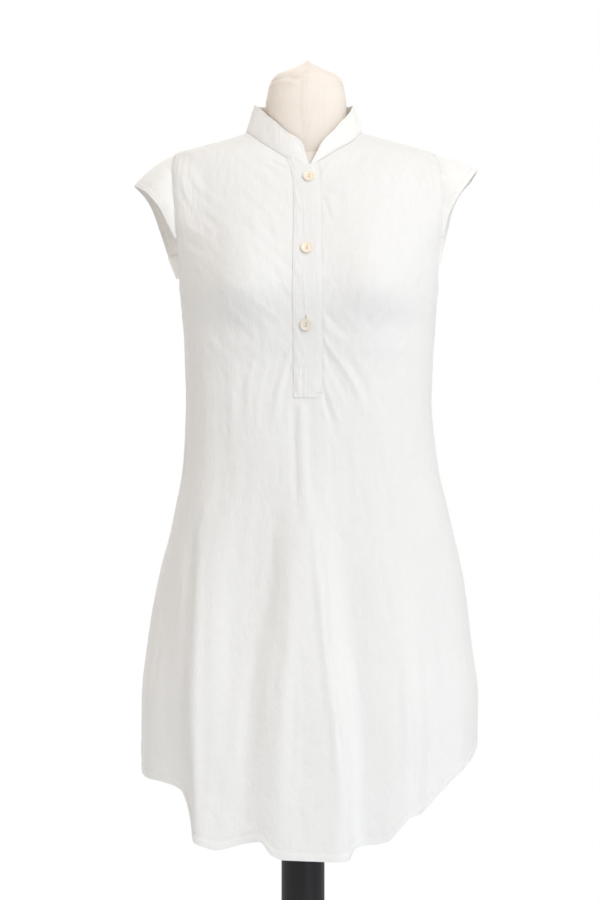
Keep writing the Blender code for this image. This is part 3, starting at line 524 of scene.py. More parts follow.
# angle at z 1.05, 0.80 and 0.50, top height, height where full, reach out, half width, lean
flutes = (
    (-54.0, -37.0, -30.0, 1.050, 0.62, 0.0210, 0.030, -0.022),
    (-7.0, -21.5, -25.0, 1.070, 0.62, -0.0090, 0.030, 0.0),
    (-3.0, -9.0, -9.5, 1.066, 0.60, 0.0160, 0.030, 0.0),
    (0.0, 2.0, 3.8, 1.066, 0.58, 0.0280, 0.030, 0.024),
    (9.0, 12.5, 16.5, 1.050, 0.60, -0.0120, 0.026, 0.0),
    (38.0, 34.0, 32.0, 0.930, 0.60, 0.0120, 0.027, 0.010),
    (45.0, 43.0, 41.0, 0.930, 0.62, -0.0070, 0.024, 0.0),
    (62.0, 59.0, 55.0, 0.950, 0.60, 0.0050, 0.030, 0.0),
    (-80.0, -72.0, -62.0, 0.900, 0.60, 0.0050, 0.026, 0.0),
    (112.0, 112.0, 110.0, 0.960, 0.62, 0.0100, 0.030, 0.010),
    (126.0, 127.0, 127.0, 0.980, 0.62, -0.0100, 0.028, 0.0),
    (146.0, 147.0, 148.0, 1.040, 0.62, 0.0200, 0.031, -0.016),
    (166.0, 165.0, 164.0, 1.020, 0.62, -0.0120, 0.030, 0.0),
    (184.0, 183.0, 181.0, 1.050, 0.60, 0.0240, 0.032, 0.018),
    (202.0, 200.0, 199.0, 1.020, 0.62, -0.0120, 0.030, 0.0),
    (222.0, 219.0, 217.0, 1.030, 0.62, 0.0200, 0.031, 0.016),
    (238.0, 236.0, 235.0, 0.980, 0.62, -0.0100, 0.028, 0.0),
    (254.0, 252.0, 251.0, 0.950, 0.62, 0.0100, 0.030, 0.0),
)

# angle, height of the hem
hemFront = (
    (-90, 0.583), (-75, 0.583), (-62, 0.5825), (-53, 0.580), (-46, 0.574), (-41, 0.550),
    (-36.5, 0.518), (-29.5, 0.5085), (-26.5, 0.5045), (-22, 0.5105), (-19.5, 0.5140),
    (-15.5, 0.5170), (-12.5, 0.503), (-9, 0.497), (0, 0.4965), (8, 0.497), (12, 0.504),
    (16, 0.508), (25, 0.514), (28, 0.530), (31, 0.545), (37, 0.548), (41.5, 0.552),
    (46.5, 0.566), (52, 0.583), (58, 0.5945), (66.5, 0.6035), (72, 0.608), (84, 0.619),
    (90, 0.622),
)
hemBack = (
    (90, 0.622), (104, 0.606), (120, 0.580), (140, 0.540), (160, 0.508), (180, 0.500),
    (200, 0.508), (220, 0.536), (240, 0.568), (256, 0.580), (270, 0.583),
)

# half width, front depth, back depth, squareness in front and behind
necklinePlan = (0.0750, 0.0655, 0.0600, 1.6, 2.1)
neckBasePlan = (0.0580, 0.0500, 0.0500, 2.0, 2.0)


def curveAt(table, x, column=1):
    # Smooth curve through a table's rows that never overshoots them: cubic pieces whose slopes at
    # the rows are the harmonic mean of the slopes beside them.
    xs = np.array([row[0] for row in table], dtype=float)
    ys = np.array([row[column] for row in table], dtype=float)
    step = np.diff(xs)
    slope = np.diff(ys) / step
    tangent = np.zeros_like(ys)
    tangent[0] = slope[0]
    tangent[-1] = slope[-1]
    same = slope[:-1] * slope[1:] > 0
    w1 = 2 * step[1:] + step[:-1]
    w2 = step[1:] + 2 * step[:-1]
    safe0 = np.where(same, slope[:-1], 1.0)
    safe1 = np.where(same, slope[1:], 1.0)
    tangent[1:-1] = np.where(same, (w1 + w2) / (w1 / safe0 + w2 / safe1), 0.0)
    x = np.clip(np.asarray(x, dtype=float), xs[0], xs[-1])
    i = np.clip(np.searchsorted(xs, x, side="right") - 1, 0, len(xs) - 2)
    h = step[i]
    s = (x - xs[i]) / h
    a = ys[i] * (1 + 2 * s) * (1 - s) ** 2 + tangent[i] * h * s * (1 - s) ** 2
    b = ys[i + 1] * s * s * (3 - 2 * s) + tangent[i + 1] * h * s * s * (s - 1)
    return a + b


def ease(x):
    # 0 below 0, 1 above 1, and a smooth step between.
    x = np.clip(x, 0.0, 1.0)
    return x * x * (3 - 2 * x)


def bell(x, wide):
    # 1 at 0, falling to nothing over a few widths.
    return np.exp(-(x / wide) ** 2)


def wrapped(angle):
    # Angle brought between -180 and 180 degrees.
    return (angle + 180.0) % 360.0 - 180.0


def planCut(half, front, back, frontSquare, backSquare):
    # Where an upright cut of the given plan meets the rings: angles and heights, by halving.
    phi = np.radians(np.linspace(0.0, 180.0, 181))
    s = np.abs(np.sin(phi))
    c = np.cos(phi)
    square = np.where(c > 0, frontSquare, backSquare)
    q = (s ** square + np.abs(c) ** square) ** (-1.0 / square)
    x = half * q * s
    y = np.where(c > 0, front, back) * q * np.abs(c)
    low = np.full_like(x, 1.355)
    high = np.full_like(x, 1.437)
    for _ in range(40):
        z = (low + high) / 2
        wide = curveAt(rings, z, 2)
        deep = np.where(c > 0, curveAt(rings, z, 3), curveAt(rings, z, 4))
        k = curveAt(rings, z, 5)
        outside = (x / wide) ** k + (y / deep) ** k > 1
        high = np.where(outside, z, high)
        low = np.where(outside, low, z)
    return np.degrees(np.arctan2(x / wide, np.sign(c) * y / deep)), z


necklineCut = planCut(*necklinePlan)
neckBaseCut = planCut(*neckBasePlan)


def cutHeight(cut, t):
    # Height of a cut line at angle t.
    return np.interp(np.abs(wrapped(t)), cut[0], cut[1])


def smoothBody(t, z):
    # Squared ellipse at each height, pushed forward by the fullness of the chest.
    t, z = np.broadcast_arrays(np.asarray(t, dtype=float), np.asarray(z, dtype=float))
    centre, half, front, back, square = (curveAt(rings, z, k) for k in range(1, 6))
    s = np.sin(np.radians(t))
    c = np.cos(np.radians(t))
    q = (np.abs(s) ** square + np.abs(c) ** square) ** (-1.0 / square)
    x = q * half * s
    y = -q * np.where(c > 0, front, back) * c
    push = np.zeros_like(x)
    for cx, cz, reach, wide, above, below in chest:
        tall = np.where(z > cz, above, below)
        push += reach * bell(x - cx, wide) * bell(z - cz, tall)
    return np.stack([centre + x, y - push * ease(c / 0.35), z], axis=-1)


def drape(t, z):
    # Smooth body moved out and along by each flute: a bell along the ring whose middle follows a
    # curve of three angles and whose height eases in from its top.
    t, z = np.broadcast_arrays(np.asarray(t, dtype=float), np.asarray(z, dtype=float))
    p = smoothBody(t, z)
    along = (smoothBody(t + 0.02, z) - smoothBody(t - 0.02, z))[..., :2] / 0.04
    speed = np.linalg.norm(along, axis=-1)
    along = along / speed[..., None]
    out = np.stack([along[..., 1], -along[..., 0]], axis=-1)
    rise = np.zeros_like(z)
    slide = np.zeros_like(z)
    for high, middle, low, top, full, reach, width, lean in flutes:
        k = (1.05 - z) / 0.55
        path = high * (1 - k) * (1 - k / 0.4545) + middle * k * (1 - k) / (0.4545 * 0.5455)
        path = path + low * k * (k - 0.4545) / 0.5455
        grow = ease((top - z) / (top - full))
        near = grow * bell(wrapped(t - path) * speed, width)
        rise += reach * near
        slide += lean * near * grow
    p[..., :2] += out * rise[..., None] + along * slide[..., None]
    # the cloth beside each armhole runs on flat into its sleeve
    a = np.abs(wrapped(t))
    tall = ease((z - 1.235) / 0.07) * (1 - ease((z - 1.352) / 0.030))
    ahead = body["flareFront"] * ease((a - 42.0) / 27.0) * (1 - ease((a - 80.0) / 10.0))
    behind = body["flareBack"] * ease((138.0 - a) / 25.0) * (1 - ease((100.0 - a) / 10.0))
    p[..., 1] += tall * (behind - ahead)
    return p


def outward(grid):
    # Horizontal direction from the figure's axis to each point, with a little upward.
    return grid * np.array([1.0, 1.0, 0.0]) + np.array([0.0, 0.0, 0.02])


def facingOf(t, z):
    # Outward unit normal of the draped form.
    du = drape(t + 0.4, z) - drape(t - 0.4, z)
    dv = drape(t, z + 0.001) - drape(t, z - 0.001)
    n = np.cross(du, dv)
    n /= np.linalg.norm(n, axis=-1, keepdims=True)
    p = drape(t, z)
    return n * np.where(np.sum(n * outward(p), axis=-1, keepdims=True) < 0, -1.0, 1.0)


def gridFacing(grid, toward):
    # Unit normals of a grid of points, turned to the side of the given direction.
    n = np.cross(np.gradient(grid, axis=1), np.gradient(grid, axis=0))
    n /= np.maximum(np.linalg.norm(n, axis=-1, keepdims=True), 1e-12)
    return -n if np.sum(n * toward) < 0 else n


lattices = {}


def grain(p, size, seed):
    # Smooth random field from -1 to 1: seeded values at the corners of cells, blended between.
    if seed not in lattices:
        lattices[seed] = np.random.default_rng(seed).uniform(-1.0, 1.0, (32, 32, 32))
    q = p / np.asarray(size)
    cell = np.floor(q).astype(int)
    f = q - cell
    f = f * f * (3 - 2 * f)
    total = np.zeros(p.shape[:-1])
    for corner in range(8):
        bit = np.array([corner & 1, corner >> 1 & 1, corner >> 2 & 1])
        at = (cell + bit) % 32
        weight = np.prod(np.where(bit, f, 1 - f), axis=-1)
        total += weight * lattices[seed][at[..., 0], at[..., 1], at[..., 2]]
    return total


# ---- creases. Each row: points of its path, half width, height (trough if
# negative), all in mm. The front's and back's points are x and z, the sides' are y and z.

foldsFront = (
    # upper left, from the shoulder and armhole towards the placket
    ("-49,1373 -31,1362 -14,1351", 2.4, -1.1), ("-56,1367 -39,1352 -21,1334", 2.8, -0.6),
    ("-74,1375 -51,1350 -24,1319", 3.8, 0.5), ("-89,1348 -69,1325 -46,1302 -29,1279", 3.0, 0.8),
    ("-97,1331 -79,1309 -59,1287", 2.8, -0.7), ("-112,1347 -92,1323 -69,1298 -51,1277", 3.2, 0.7),
    ("-135,1359 -125,1338 -107,1314", 3.2, -0.6), ("-146,1364 -138,1342 -125,1319", 3.2, 0.9),
    ("-155,1361 -153,1338 -143,1313 -128,1298", 2.8, 0.9), ("-133,1301 -115,1287 -97,1268", 3.8, -1.2),
    ("-153,1290 -135,1276 -112,1262", 3.8, 0.9), ("-155,1272 -138,1258 -120,1247", 3.2, -1.6),
    ("-154,1254 -130,1230 -102,1201 -79,1180", 3.8, 0.5), ("-130,1253 -99,1218 -66,1188", 4.4, 0.3),
    ("-79,1268 -51,1235 -26,1199", 4.4, -0.3), ("-51,1262 -34,1234 -19,1206", 3.8, 0.3),
    ("-31,1207 -23,1194 -15,1183", 2.2, -1.3), ("-28,1212 -19,1199 -13,1189", 2.2, 0.6),
    ("-64,1190 -41,1172 -16,1152", 3.2, 0.5), ("-56,1172 -36,1157 -15,1140", 2.8, -0.4),
    # left of the placket's foot
    ("-16,1122 -26,1090 -34,1057 -41,1022", 3.8, 1.6), ("-14,1110 -19,1082 -24,1052 -29,1025", 3.2, -1.4),
    ("-34,1122 -44,1090 -49,1057 -51,1025", 3.8, -1.0), ("-51,1130 -64,1100 -69,1063 -65,1020", 4.4, 1.0),
    ("-69,1125 -79,1093 -80,1058 -74,1018", 3.8, -0.5), ("-84,1125 -90,1088 -90,1038 -84,975 -87,900", 5.0, 0.7),
    ("-102,1118 -107,1063 -106,987 -112,887", 5.0, -0.5), ("-120,1126 -124,1063 -122,975 -125,861", 5.0, 0.5),
    # upper right
    ("19,1333 33,1325 53,1312", 3.2, -0.9), ("20,1346 33,1360 53,1375", 3.0, 0.7),
    ("25,1351 43,1367 66,1380", 2.8, -0.4), ("22,1324 30,1304 37,1282", 2.4, -0.9),
    ("29,1322 36,1302 43,1284", 2.5, 0.4), ("71,1375 94,1353 114,1326", 4.4, 0.5),
    ("91,1375 104,1353 109,1326", 3.8, -0.5), ("119,1369 112,1346 96,1318", 3.8, -0.5),
    ("135,1365 122,1337 101,1306", 3.8, 0.4), ("148,1359 142,1328 130,1297", 3.8, -0.4),
    ("33,1218 41,1207 46,1195", 2.2, -0.8), ("27,1198 24,1187 21,1176", 2.2, -0.7),
    ("25,1174 41,1157 61,1135", 3.8, -1.3), ("46,1177 61,1160 79,1137", 3.8, 0.9),
    ("66,1180 81,1160 96,1135", 3.8, -0.5), ("22,1159 36,1145 56,1127", 2.5, 0.6),
    # right of the placket's foot
    ("20,1146 36,1122 55,1095 70,1065 81,1033", 2.8, 1.7), ("24,1127 37,1100 53,1070 66,1040", 3.2, -1.6),
    ("20,1105 30,1075 42,1042 53,1010", 2.8, 1.4), ("20,1082 29,1055 38,1025 47,993", 2.8, -1.0),
    ("47,1125 64,1100 79,1072 91,1040", 3.0, -1.0), ("56,1130 76,1100 94,1068", 3.8, 0.7),
    ("53,1012 64,983 76,950 91,912", 2.8, 0.7), ("58,1032 69,1005 81,975 99,937", 3.0, -0.5),
    ("31,1025 36,985 37,938", 3.0, -0.5), ("71,1062 91,1025 109,975 119,912", 5.0, 0.4),
    ("114,1126 127,1075 135,1013", 6.2, 0.4), ("86,912 101,862 112,812 117,761", 3.8, 0.5),
    ("81,812 91,762 96,687", 3.8, -0.4), ("66,763 76,700 79,663", 3.2, 0.4),
    # skirt, left to right
    ("-170,757 -173,679 -168,616", 5.0, -0.5), ("-151,860 -154,784 -153,708", 3.8, 0.5),
    ("-126,685 -124,609 -125,533", 4.4, -0.5), ("-115,811 -117,710 -113,635", 5.0, 0.5),
    ("-106,611 -108,560 -112,516", 3.8, -1.0), ("-97,636 -97,586 -98,536 -93,498", 3.2, 1.6),
    ("-30,950 -40,862 -54,775 -65,690 -74,600 -82,530", 6.0, -1.4),
    ("-22,900 -30,820 -40,738 -47,663 -53,580", 6.0, 1.2), ("-9,763 -14,688 -19,614 -24,539", 3.8, -0.8),
    ("-127,975 -130,864 -131,765 -132,667 -133,568 -134,515", 6.0, 2.0),
    ("-138,940 -143,850 -146,760 -148,660 -148,585", 7.0, -1.8),
    ("11,935 15,880 20,815 29,735 38,650 46,575 53,505", 3.5, 2.2),
    ("18,935 22,880 28,815 37,735 47,650 56,575 63,505", 3.5, -2.8),
    ("-4,701 -6,639 -10,576", 3.1, 0.9), ("-2,1064 -2,1012 1,955 6,890", 5.0, 1.8),
    ("8,1064 9,1012 13,955 18,900", 4.5, -1.4), ("-100,820 -102,720 -102,640 -100,560 -97,495", 13.0, 2.6),
    ("-70,860 -76,760 -82,660 -84,560 -85,495", 11.0, 3.0), ("-122,900 -126,800 -128,700 -129,600 -130,510", 9.0, -2.0),
    ("-10,935 -14,850 -18,760 -23,670 -27,580 -30,495", 12.0, 2.8),
    ("-10,1057 -11,1012 -10,963 -9,888", 3.8, -0.8), ("11,863 9,788 14,713 24,651", 3.8, -0.6),
    ("19,763 21,701 19,664", 2.5, -0.5), ("-4,564 4,549 10,532", 2.2, 1.0),
    ("17,532 31,521 46,514", 2.2, 1.0), ("-8,541 -11,524 -15,507", 2.4, 0.9),
    ("33,589 29,564 21,539", 2.5, -0.6), ("10,576 16,549 19,532", 2.5, -0.6),
    ("79,663 81,587 81,525", 3.8, 0.5), ("91,562 94,537 96,509", 3.1, -0.7),
    ("106,687 109,611 112,536", 5.0, 0.6), ("127,761 127,660 126,572 127,528", 3.2, 1.6),
    ("136,685 136,609 137,546", 3.8, -1.6), ("128,600 140,581 148,558", 2.4, -0.9),
    ("135,559 148,550 158,541", 2.4, 0.7), ("153,810 153,709 157,607", 5.0, -0.7),
    ("172,860 175,758 183,655", 5.6, 0.8), ("192,833 202,740 207,649", 5.0, -0.6),
    ("189,628 183,597 175,573", 3.1, -0.6),
)
foldsBack = (
    ("-150,1345 -120,1290 -95,1225 -80,1160", 5.0, 1.2), ("-158,1320 -135,1262 -122,1200", 4.5, -0.8),
    ("150,1342 118,1286 96,1218 84,1150", 5.0, 1.1), ("160,1316 140,1258 126,1196", 4.5, -0.7),
    ("-60,1372 -20,1363 24,1364 62,1374", 4.0, 0.7), ("-52,1358 -10,1350 40,1355", 4.5, -0.5),
    ("-166,1205 -130,1180 -100,1168", 4.0, 1.3), ("-164,1190 -136,1160 -112,1150", 3.6, -1.0),
    ("168,1208 134,1184 104,1176", 4.0, 1.2), ("164,1188 140,1164 112,1150", 3.6, -0.9),
    ("-66,1140 -62,1080 -66,1000 -76,900", 5.5, 1.2), ("-96,1120 -94,1060 -104,960", 5.0, -0.8),
    ("6,1150 4,1080 2,1000 0,900", 6.0, -1.0), ("30,1130 34,1060 38,960 44,860", 5.0, 0.9),
    ("72,1136 70,1070 78,980 92,880", 5.5, 1.2), ("104,1110 106,1040 118,940", 5.0, -0.8),
    ("-30,1128 -28,1060 -34,980", 4.5, 0.7), ("-120,900 -132,800 -140,700", 6.0, 0.8),
    ("-20,860 -26,760 -24,640", 5.0, -0.8), ("26,840 24,740 30,620", 5.0, 0.9),
    ("130,880 142,780 150,680", 6.0, 0.8), ("-70,560 -58,545 -44,540", 3.0, 0.9),
    ("54,556 70,546 88,548", 3.0, -0.8), ("-8,548 6,536 22,530", 3.0, 0.8),
    ("0,1310 -16,1260 -20,1200", 4.5, 0.6), ("40,1320 30,1262 28,1204", 4.5, -0.5),
)
foldsLeft = (
    ("-70,1200 -40,1176 -4,1166", 3.8, 1.2), ("60,1204 30,1180 6,1170", 3.8, -1.0),
    ("-20,1150 -16,1080 -22,1000 -30,900", 5.5, 0.9), ("24,1140 26,1060 30,960", 5.0, -0.8),
    ("-50,860 -58,760 -64,660", 5.5, 0.9), ("10,850 8,750 4,650", 5.5, -0.8),
    ("50,820 58,720 62,620", 5.5, 0.9), ("-14,640 -6,624 10,616", 3.0, 0.8),
)
foldsRight = (
    ("-66,1204 -38,1182 -8,1170", 3.8, 1.1), ("64,1200 36,1178 10,1172", 3.8, -1.0),
    ("-14,1148 -12,1076 -16,990 -22,890", 5.5, -0.8), ("28,1136 24,1050 32,950", 5.0, 0.9),
    ("-44,870 -54,770 -58,680", 5.5, -0.7), ("6,840 10,740 8,660", 5.5, 0.9),
    ("54,830 60,730 66,650", 5.5, 0.8), ("20,668 34,654 50,648", 3.0, -0.8),
)


def foldField(x, z, rows):
    # Sum of creases over points in mm: a bell across the distance to a smooth path, with a lesser
    # trough beside it, that fades in and out along the path.
    flat = np.stack([x.ravel(), z.ravel()], axis=1) * 1000.0
    total = np.zeros(len(flat))
    for text, wide, high in rows:
        knots = np.array([[float(v) for v in pair.split(",")] for pair in text.split()])
        run = np.concatenate([[0.0], np.cumsum(np.linalg.norm(np.diff(knots, axis=0), axis=1))])
        table = np.column_stack([run, knots])
        spots = np.linspace(0.0, run[-1], 4 * len(knots))
        line = np.stack([curveAt(table, spots, 1), curveAt(table, spots, 2)], axis=1)
        near = np.all((flat > line.min(axis=0) - 4 * wide) & (flat < line.max(axis=0) + 4 * wide), axis=1)
        if not near.any():
            continue
        piece = np.diff(line, axis=0)
        size = np.linalg.norm(piece, axis=1)
        q = flat[near][:, None] - line[None, :-1]
        share = np.clip(np.sum(q * piece, axis=2) / size ** 2, 0.0, 1.0)
        off = q - share[..., None] * piece
        distance = np.linalg.norm(off, axis=2)
        best = np.argmin(distance, axis=1)
        pick = np.arange(len(best))
        d = distance[pick, best]
        chosen = off[pick, best]
        turn = piece[best, 0] * chosen[:, 1] - piece[best, 1] * chosen[:, 0]
        along = (spots[best] + share[pick, best] * size[best]) / run[-1]
        start = 0.10 if abs(knots[0, 0]) < 30 and knots[0, 1] > 1050 else 0.30
        fade = ease(along / start) * ease((1 - along) / 0.38)
        beside = bell(-np.sign(turn) * d - 1.8 * wide, 1.1 * wide)
        total[near] += high * fade * (bell(d, wide) - 0.45 * beside)
    return (total / 1000.0).reshape(x.shape)


def armReach(station, reach):
    # Degrees by which the armhole's edge stands back from the side line: a squared arch.
    span = np.abs(2 * np.asarray(station, dtype=float) - 1)
    return reach * np.maximum(1 - span ** 2.4, 0.0) ** (1 / 2.4)


def hemHeight(t):
    # Height of the hem at angle t, front and back.
    t = wrapped(t)
    behind = np.where(t < 0, t + 360.0, t)
    return np.where(np.abs(t) <= 90.0, curveAt(hemFront, t), curveAt(hemBack, behind))


def seamRelief(t, z, p):
    # Turned hem, side and shoulder seams, and faced armholes: flat bands, stitched troughs and the
    # small puckers along them.
    t = wrapped(t)
    pucker = grain(p, (0.008, 0.008, 0.008), 5)
    hem = z - hemHeight(t)
    total = 0.0006 * (1 - ease((hem - 0.0080) / 0.0022)) - 0.0004 * bell(hem - 0.0098, 0.0016)
    total += 0.0005 * pucker * bell(hem - 0.007, 0.008)
    front = np.abs(t) < 90.0
    aside = np.abs(90.0 - np.abs(t)) * 0.0031
    joined = (z <= body["armpit"]) | (z >= body["tip"])
    total += np.where(joined, -0.0006 * bell(aside, 0.0018) + 0.0004 * pucker * bell(aside, 0.006), 0.0)
    total += np.where(joined & ~front, 0.0003 * bell(aside - 0.005, 0.003), 0.0)
    station = np.clip((z - body["armpit"]) / (body["tip"] - body["armpit"]), 0.0, 1.0)
    edge = np.where(front, 90.0 - armReach(station, body["reachFront"]) - np.abs(t),
                    np.abs(t) - 90.0 - armReach(station, body["reachBack"])) * 0.0031
    band = 0.0004 * bell(edge - 0.0030, 0.0024) - 0.0004 * bell(edge - 0.0064, 0.0014)
    band += 0.0009 * pucker * bell(edge - 0.005, 0.006)
    return total + np.where(joined, 0.0, band)


def relief(t, z):
    # Height of the cloth over its draped form: creases of the four sides, crinkle and seams, calm
    # beside the placket and the neckline.
    t, z = np.broadcast_arrays(np.asarray(t, dtype=float), np.asarray(z, dtype=float))
    p = drape(t, z)
    x, y = p[..., 0], p[..., 1]
    s = np.sin(np.radians(t))
    c = np.cos(np.radians(t))
    total = foldField(x, z, foldsFront) * ease((c + 0.02) / 0.22)
    total = total + foldField(x, z, foldsBack) * ease((-c - 0.02) / 0.22)
    total = total + foldField(y, z, foldsLeft) * ease((-s - 0.72) / 0.2)
    total = total + foldField(y, z, foldsRight) * ease((s - 0.72) / 0.2)
    round_ = np.stack([0.19 * s, 0.19 * c, z], axis=-1)
    skirt = 1 - ease((z - 0.98) / 0.16)
    total = total + 0.00045 * grain(round_, (0.010, 0.010, 0.055), 1) * (0.5 + 0.5 * skirt)
    total = total + 0.00055 * grain(round_, (0.026, 0.026, 0.110), 2) * (0.3 + 0.7 * skirt)
    total = total + 0.00110 * grain(round_, (0.060, 0.060, 0.210), 3) * skirt
    total = total + 0.00030 * grain(round_, (0.0065, 0.0065, 0.012), 4)
    for cx in (-0.096, 0.112):
        total = total - 0.0035 * bell(x - cx, 0.038) * bell(z - 1.156, 0.021) * ease(c / 0.2)
        total = total + 0.0025 * bell(x - cx, 0.045) * bell(z - 1.205, 0.030) * ease(c / 0.2)
    slope = np.stack([(0.19 * np.abs(s) - z) / 0.011, (0.19 * np.abs(s) + z) / 0.060, c], axis=-1)
    total = total + 0.00055 * grain(slope, 1.0, 6) * (1 - skirt) * ease(c / 0.3)
    inner = x - curveAt(rings, z, 1)
    beside = np.where(inner < 0, ease((-inner - 0.0212) / 0.0028), ease((inner - 0.0170) / 0.0022))
    upper = ease((z - 1.054) / 0.008) * (c > 0)
    total = total * (1 - upper * (1 - beside))
    total = total * ease((cutHeight(necklineCut, t) - z - 0.001) / 0.012)
    total = np.where(z > 1.33, np.maximum(total, -0.0008), total)
    return total + seamRelief(t, z, p) * (1 - upper * (1 - beside))


def onCloth(t, z, lift=0.0):
    # Point and outward normal of the creased cloth.
    n = facingOf(t, z)
    return drape(t, z) + n * (relief(t, z) + lift)[..., None], n


# ---- front and back panels

panel = {
    "skirtRows": 118,
    "waistRows": 44,
    "yokeRows": 52,
    "shoulderRows": 10,
    "sideColumns": 86,
    "slitColumns": 8,
    "backColumns": 188,
}


def panelRows(hemLow):
    # Rows of a panel as arrays: part (0 skirt, 1 yoke), share of the way up, armhole station.
    near = np.array([0.0, 0.0025, 0.0055, 0.0085, 0.011, 0.0130, 0.0155, 0.019, 0.024, 0.030])
    waist = (1.045 - hemLow) / (body["armpit"] - hemLow)
    skirt = np.concatenate([
        near, np.linspace(0.037, waist, panel["skirtRows"])[:-1],
        np.linspace(waist, 1.0, panel["waistRows"])[:-1],
    ])
    slit = [(body[k] - hemLow) / (body["armpit"] - hemLow) for k in ("placketFoot", "slitFoot")]
    for value in slit:
        skirt[np.argmin(np.abs(skirt - value))] = value
    arch = (1 - np.cos(np.linspace(0, math.pi, panel["yokeRows"]))) / 2
    station = 0.35 * arch + 0.65 * np.linspace(0, 1, panel["yokeRows"])
    tall = body["shoulder"] - body["armpit"]
    tip = (body["tip"] - body["armpit"]) / tall
    part = np.concatenate([np.zeros(len(skirt)), np.ones(len(station) + panel["shoulderRows"])])
    share = np.concatenate([skirt, station * tip, np.linspace(tip, 1.0, panel["shoulderRows"] + 1)[1:]])
    station = np.concatenate([np.zeros(len(skirt)), station, np.ones(panel["shoulderRows"])])
    return part[:, None], share[:, None], station[:, None], slit


def seamInset(z, column):
    # Half the seam gap at the side line, in degrees.
    return np.degrees(body["gap"] / 2 / curveAt(rings, z, column))


def rowPlace(rows, share, back=False):
    # Angle, height and edge angle of points on panel rows: a skirt row lies between hem and armpit
    # level, a yoke row between armpit level and neckline, and share runs across between the edges.
    part, r, station = rows[:3]
    middle = 180.0 if back else 0.0
    flat = middle + share * 90.0
    low, high = body["armpit"], body["shoulder"]
    skirtZ = (curveAt(hemBack, flat) if back else curveAt(hemFront, flat)) * (1 - r) + low * r
    z = np.where(part == 0, skirtZ, low + (cutHeight(necklineCut, flat) - low) * r)
    column = 4 if back else 3
    edge = 90.0 - armReach(station, body["reachBack"] if back else body["reachFront"])
    edge = edge - np.where(part == 0, seamInset(np.where(r < 0.5, 0.7, 1.1), column), 0.0)
    joined = (part == 1) & ((station <= 0) | (station >= 1))
    edge = edge - np.where(joined, seamInset(low + (high - low) * r, column), 0.0)
    return middle + share * edge, z, edge


def frontAngle(x, z):
    # Angle at which the smooth body passes x, measured from its centre, near the front.
    return np.degrees(np.arctan2(x, curveAt(rings, z, 2)))


def shareOfX(rows, x):
    # Share across a front row at which it passes x near the centre front, by a few steps.
    share = np.broadcast_to(0.05 * np.sign(x), np.broadcast_shapes(np.shape(x), rows[0].shape)) * 1.0
    for _ in range(6):
        t, z, edge = rowPlace(rows, share)
        share = frontAngle(x, z) / edge
    return share


def spread(count):
    # Shares from 0 to 1, close together near both ends.
    ends = np.array([0.0, 0.004, 0.009, 0.015, 0.022, 0.031])
    return np.concatenate([ends, np.linspace(0.042, 0.958, count - 12), 1 - ends[::-1]])


rowsFront = panelRows(hemFront[14][1])
left = shareOfX(rowsFront, np.array([[-body["slitHalf"]]]))
right = shareOfX(rowsFront, np.array([[body["slitHalf"]]]))
side = spread(panel["sideColumns"])[None]
middle = np.linspace(0.0, 1.0, panel["slitColumns"] + 1)[None]
shareFront = np.concatenate([
    (-1 + (left + 1) * side)[:, :-1], left + (right - left) * middle, (right + (1 - right) * side)[:, 1:],
], axis=1)
tFront, zFront, _ = rowPlace(rowsFront, shareFront)
frontPoints, frontFacing = onCloth(tFront, zFront)
slitRow = int(np.argmin(np.abs(rowsFront[1][:, 0] - rowsFront[3][1]) + rowsFront[0][:, 0] * 9))
keepFront = np.ones((frontPoints.shape[0] - 1, frontPoints.shape[1] - 1), dtype=bool)
keepFront[slitRow:, panel["sideColumns"] - 1:panel["sideColumns"] - 1 + panel["slitColumns"]] = False
clothUv = lambda t, z: np.stack([wrapped(t) * 0.0033, z], axis=-1)
frontPanel = shell(
    "tunic_front", frontPoints, frontFacing, body["wall"], "linen", clothUv(tFront, zFront), keepFront,
)

rowsBack = panelRows(0.52)
shareBack = 2 * spread(panel["backColumns"])[None] - 1
tBack, zBack, _ = rowPlace(rowsBack, np.broadcast_to(shareBack, (rowsBack[0].shape[0], shareBack.shape[1])), True)
backPoints, backFacing = onCloth(tBack, zBack)
backUv = np.stack([(tBack - 180.0) * 0.0033 + 1.0, zBack], axis=-1)
backPanel = shell("tunic_back", backPoints, backFacing, body["wall"], "linen", backUv)
print("panels made:", len(frontPanel.data.polygons), len(backPanel.data.polygons))


# ---- cap sleeves

# distance from the centre, y, height of the free edge, from its front end over the shoulder
sleeveLeft = {
    "name": "sleeve_left", "side": -1, "bulge": 0.0045, "back": 0.16,
    "edge": (
        (0.1715, -0.0505, 1.2710), (0.1800, -0.0530, 1.2880), (0.1910, -0.0520, 1.3100),
        (0.2100, -0.0380, 1.3320), (0.2250, 0.0, 1.3420), (0.2180, 0.0300, 1.3360),
        (0.2080, 0.0480, 1.3210), (0.1965, 0.0560, 1.2880), (0.1860, 0.0570, 1.2560),
        (0.1740, 0.0520, 1.2260),
    ),
    # share along, drift towards the free edge, half width, height in mm
    "folds": (
        (0.14, 0.02, 0.022, 1.1), (0.20, 0.03, 0.020, -1.3), (0.26, 0.00, 0.024, 1.6),
        (0.33, -0.02, 0.022, -1.2), (0.40, -0.02, 0.024, 0.9), (0.50, 0.0, 0.030, -0.6),
        (0.60, 0.02, 0.026, 0.9), (0.68, 0.02, 0.024, -1.0), (0.77, 0.0, 0.026, 1.2),
        (0.86, -0.02, 0.022, -0.9),
    ),
}
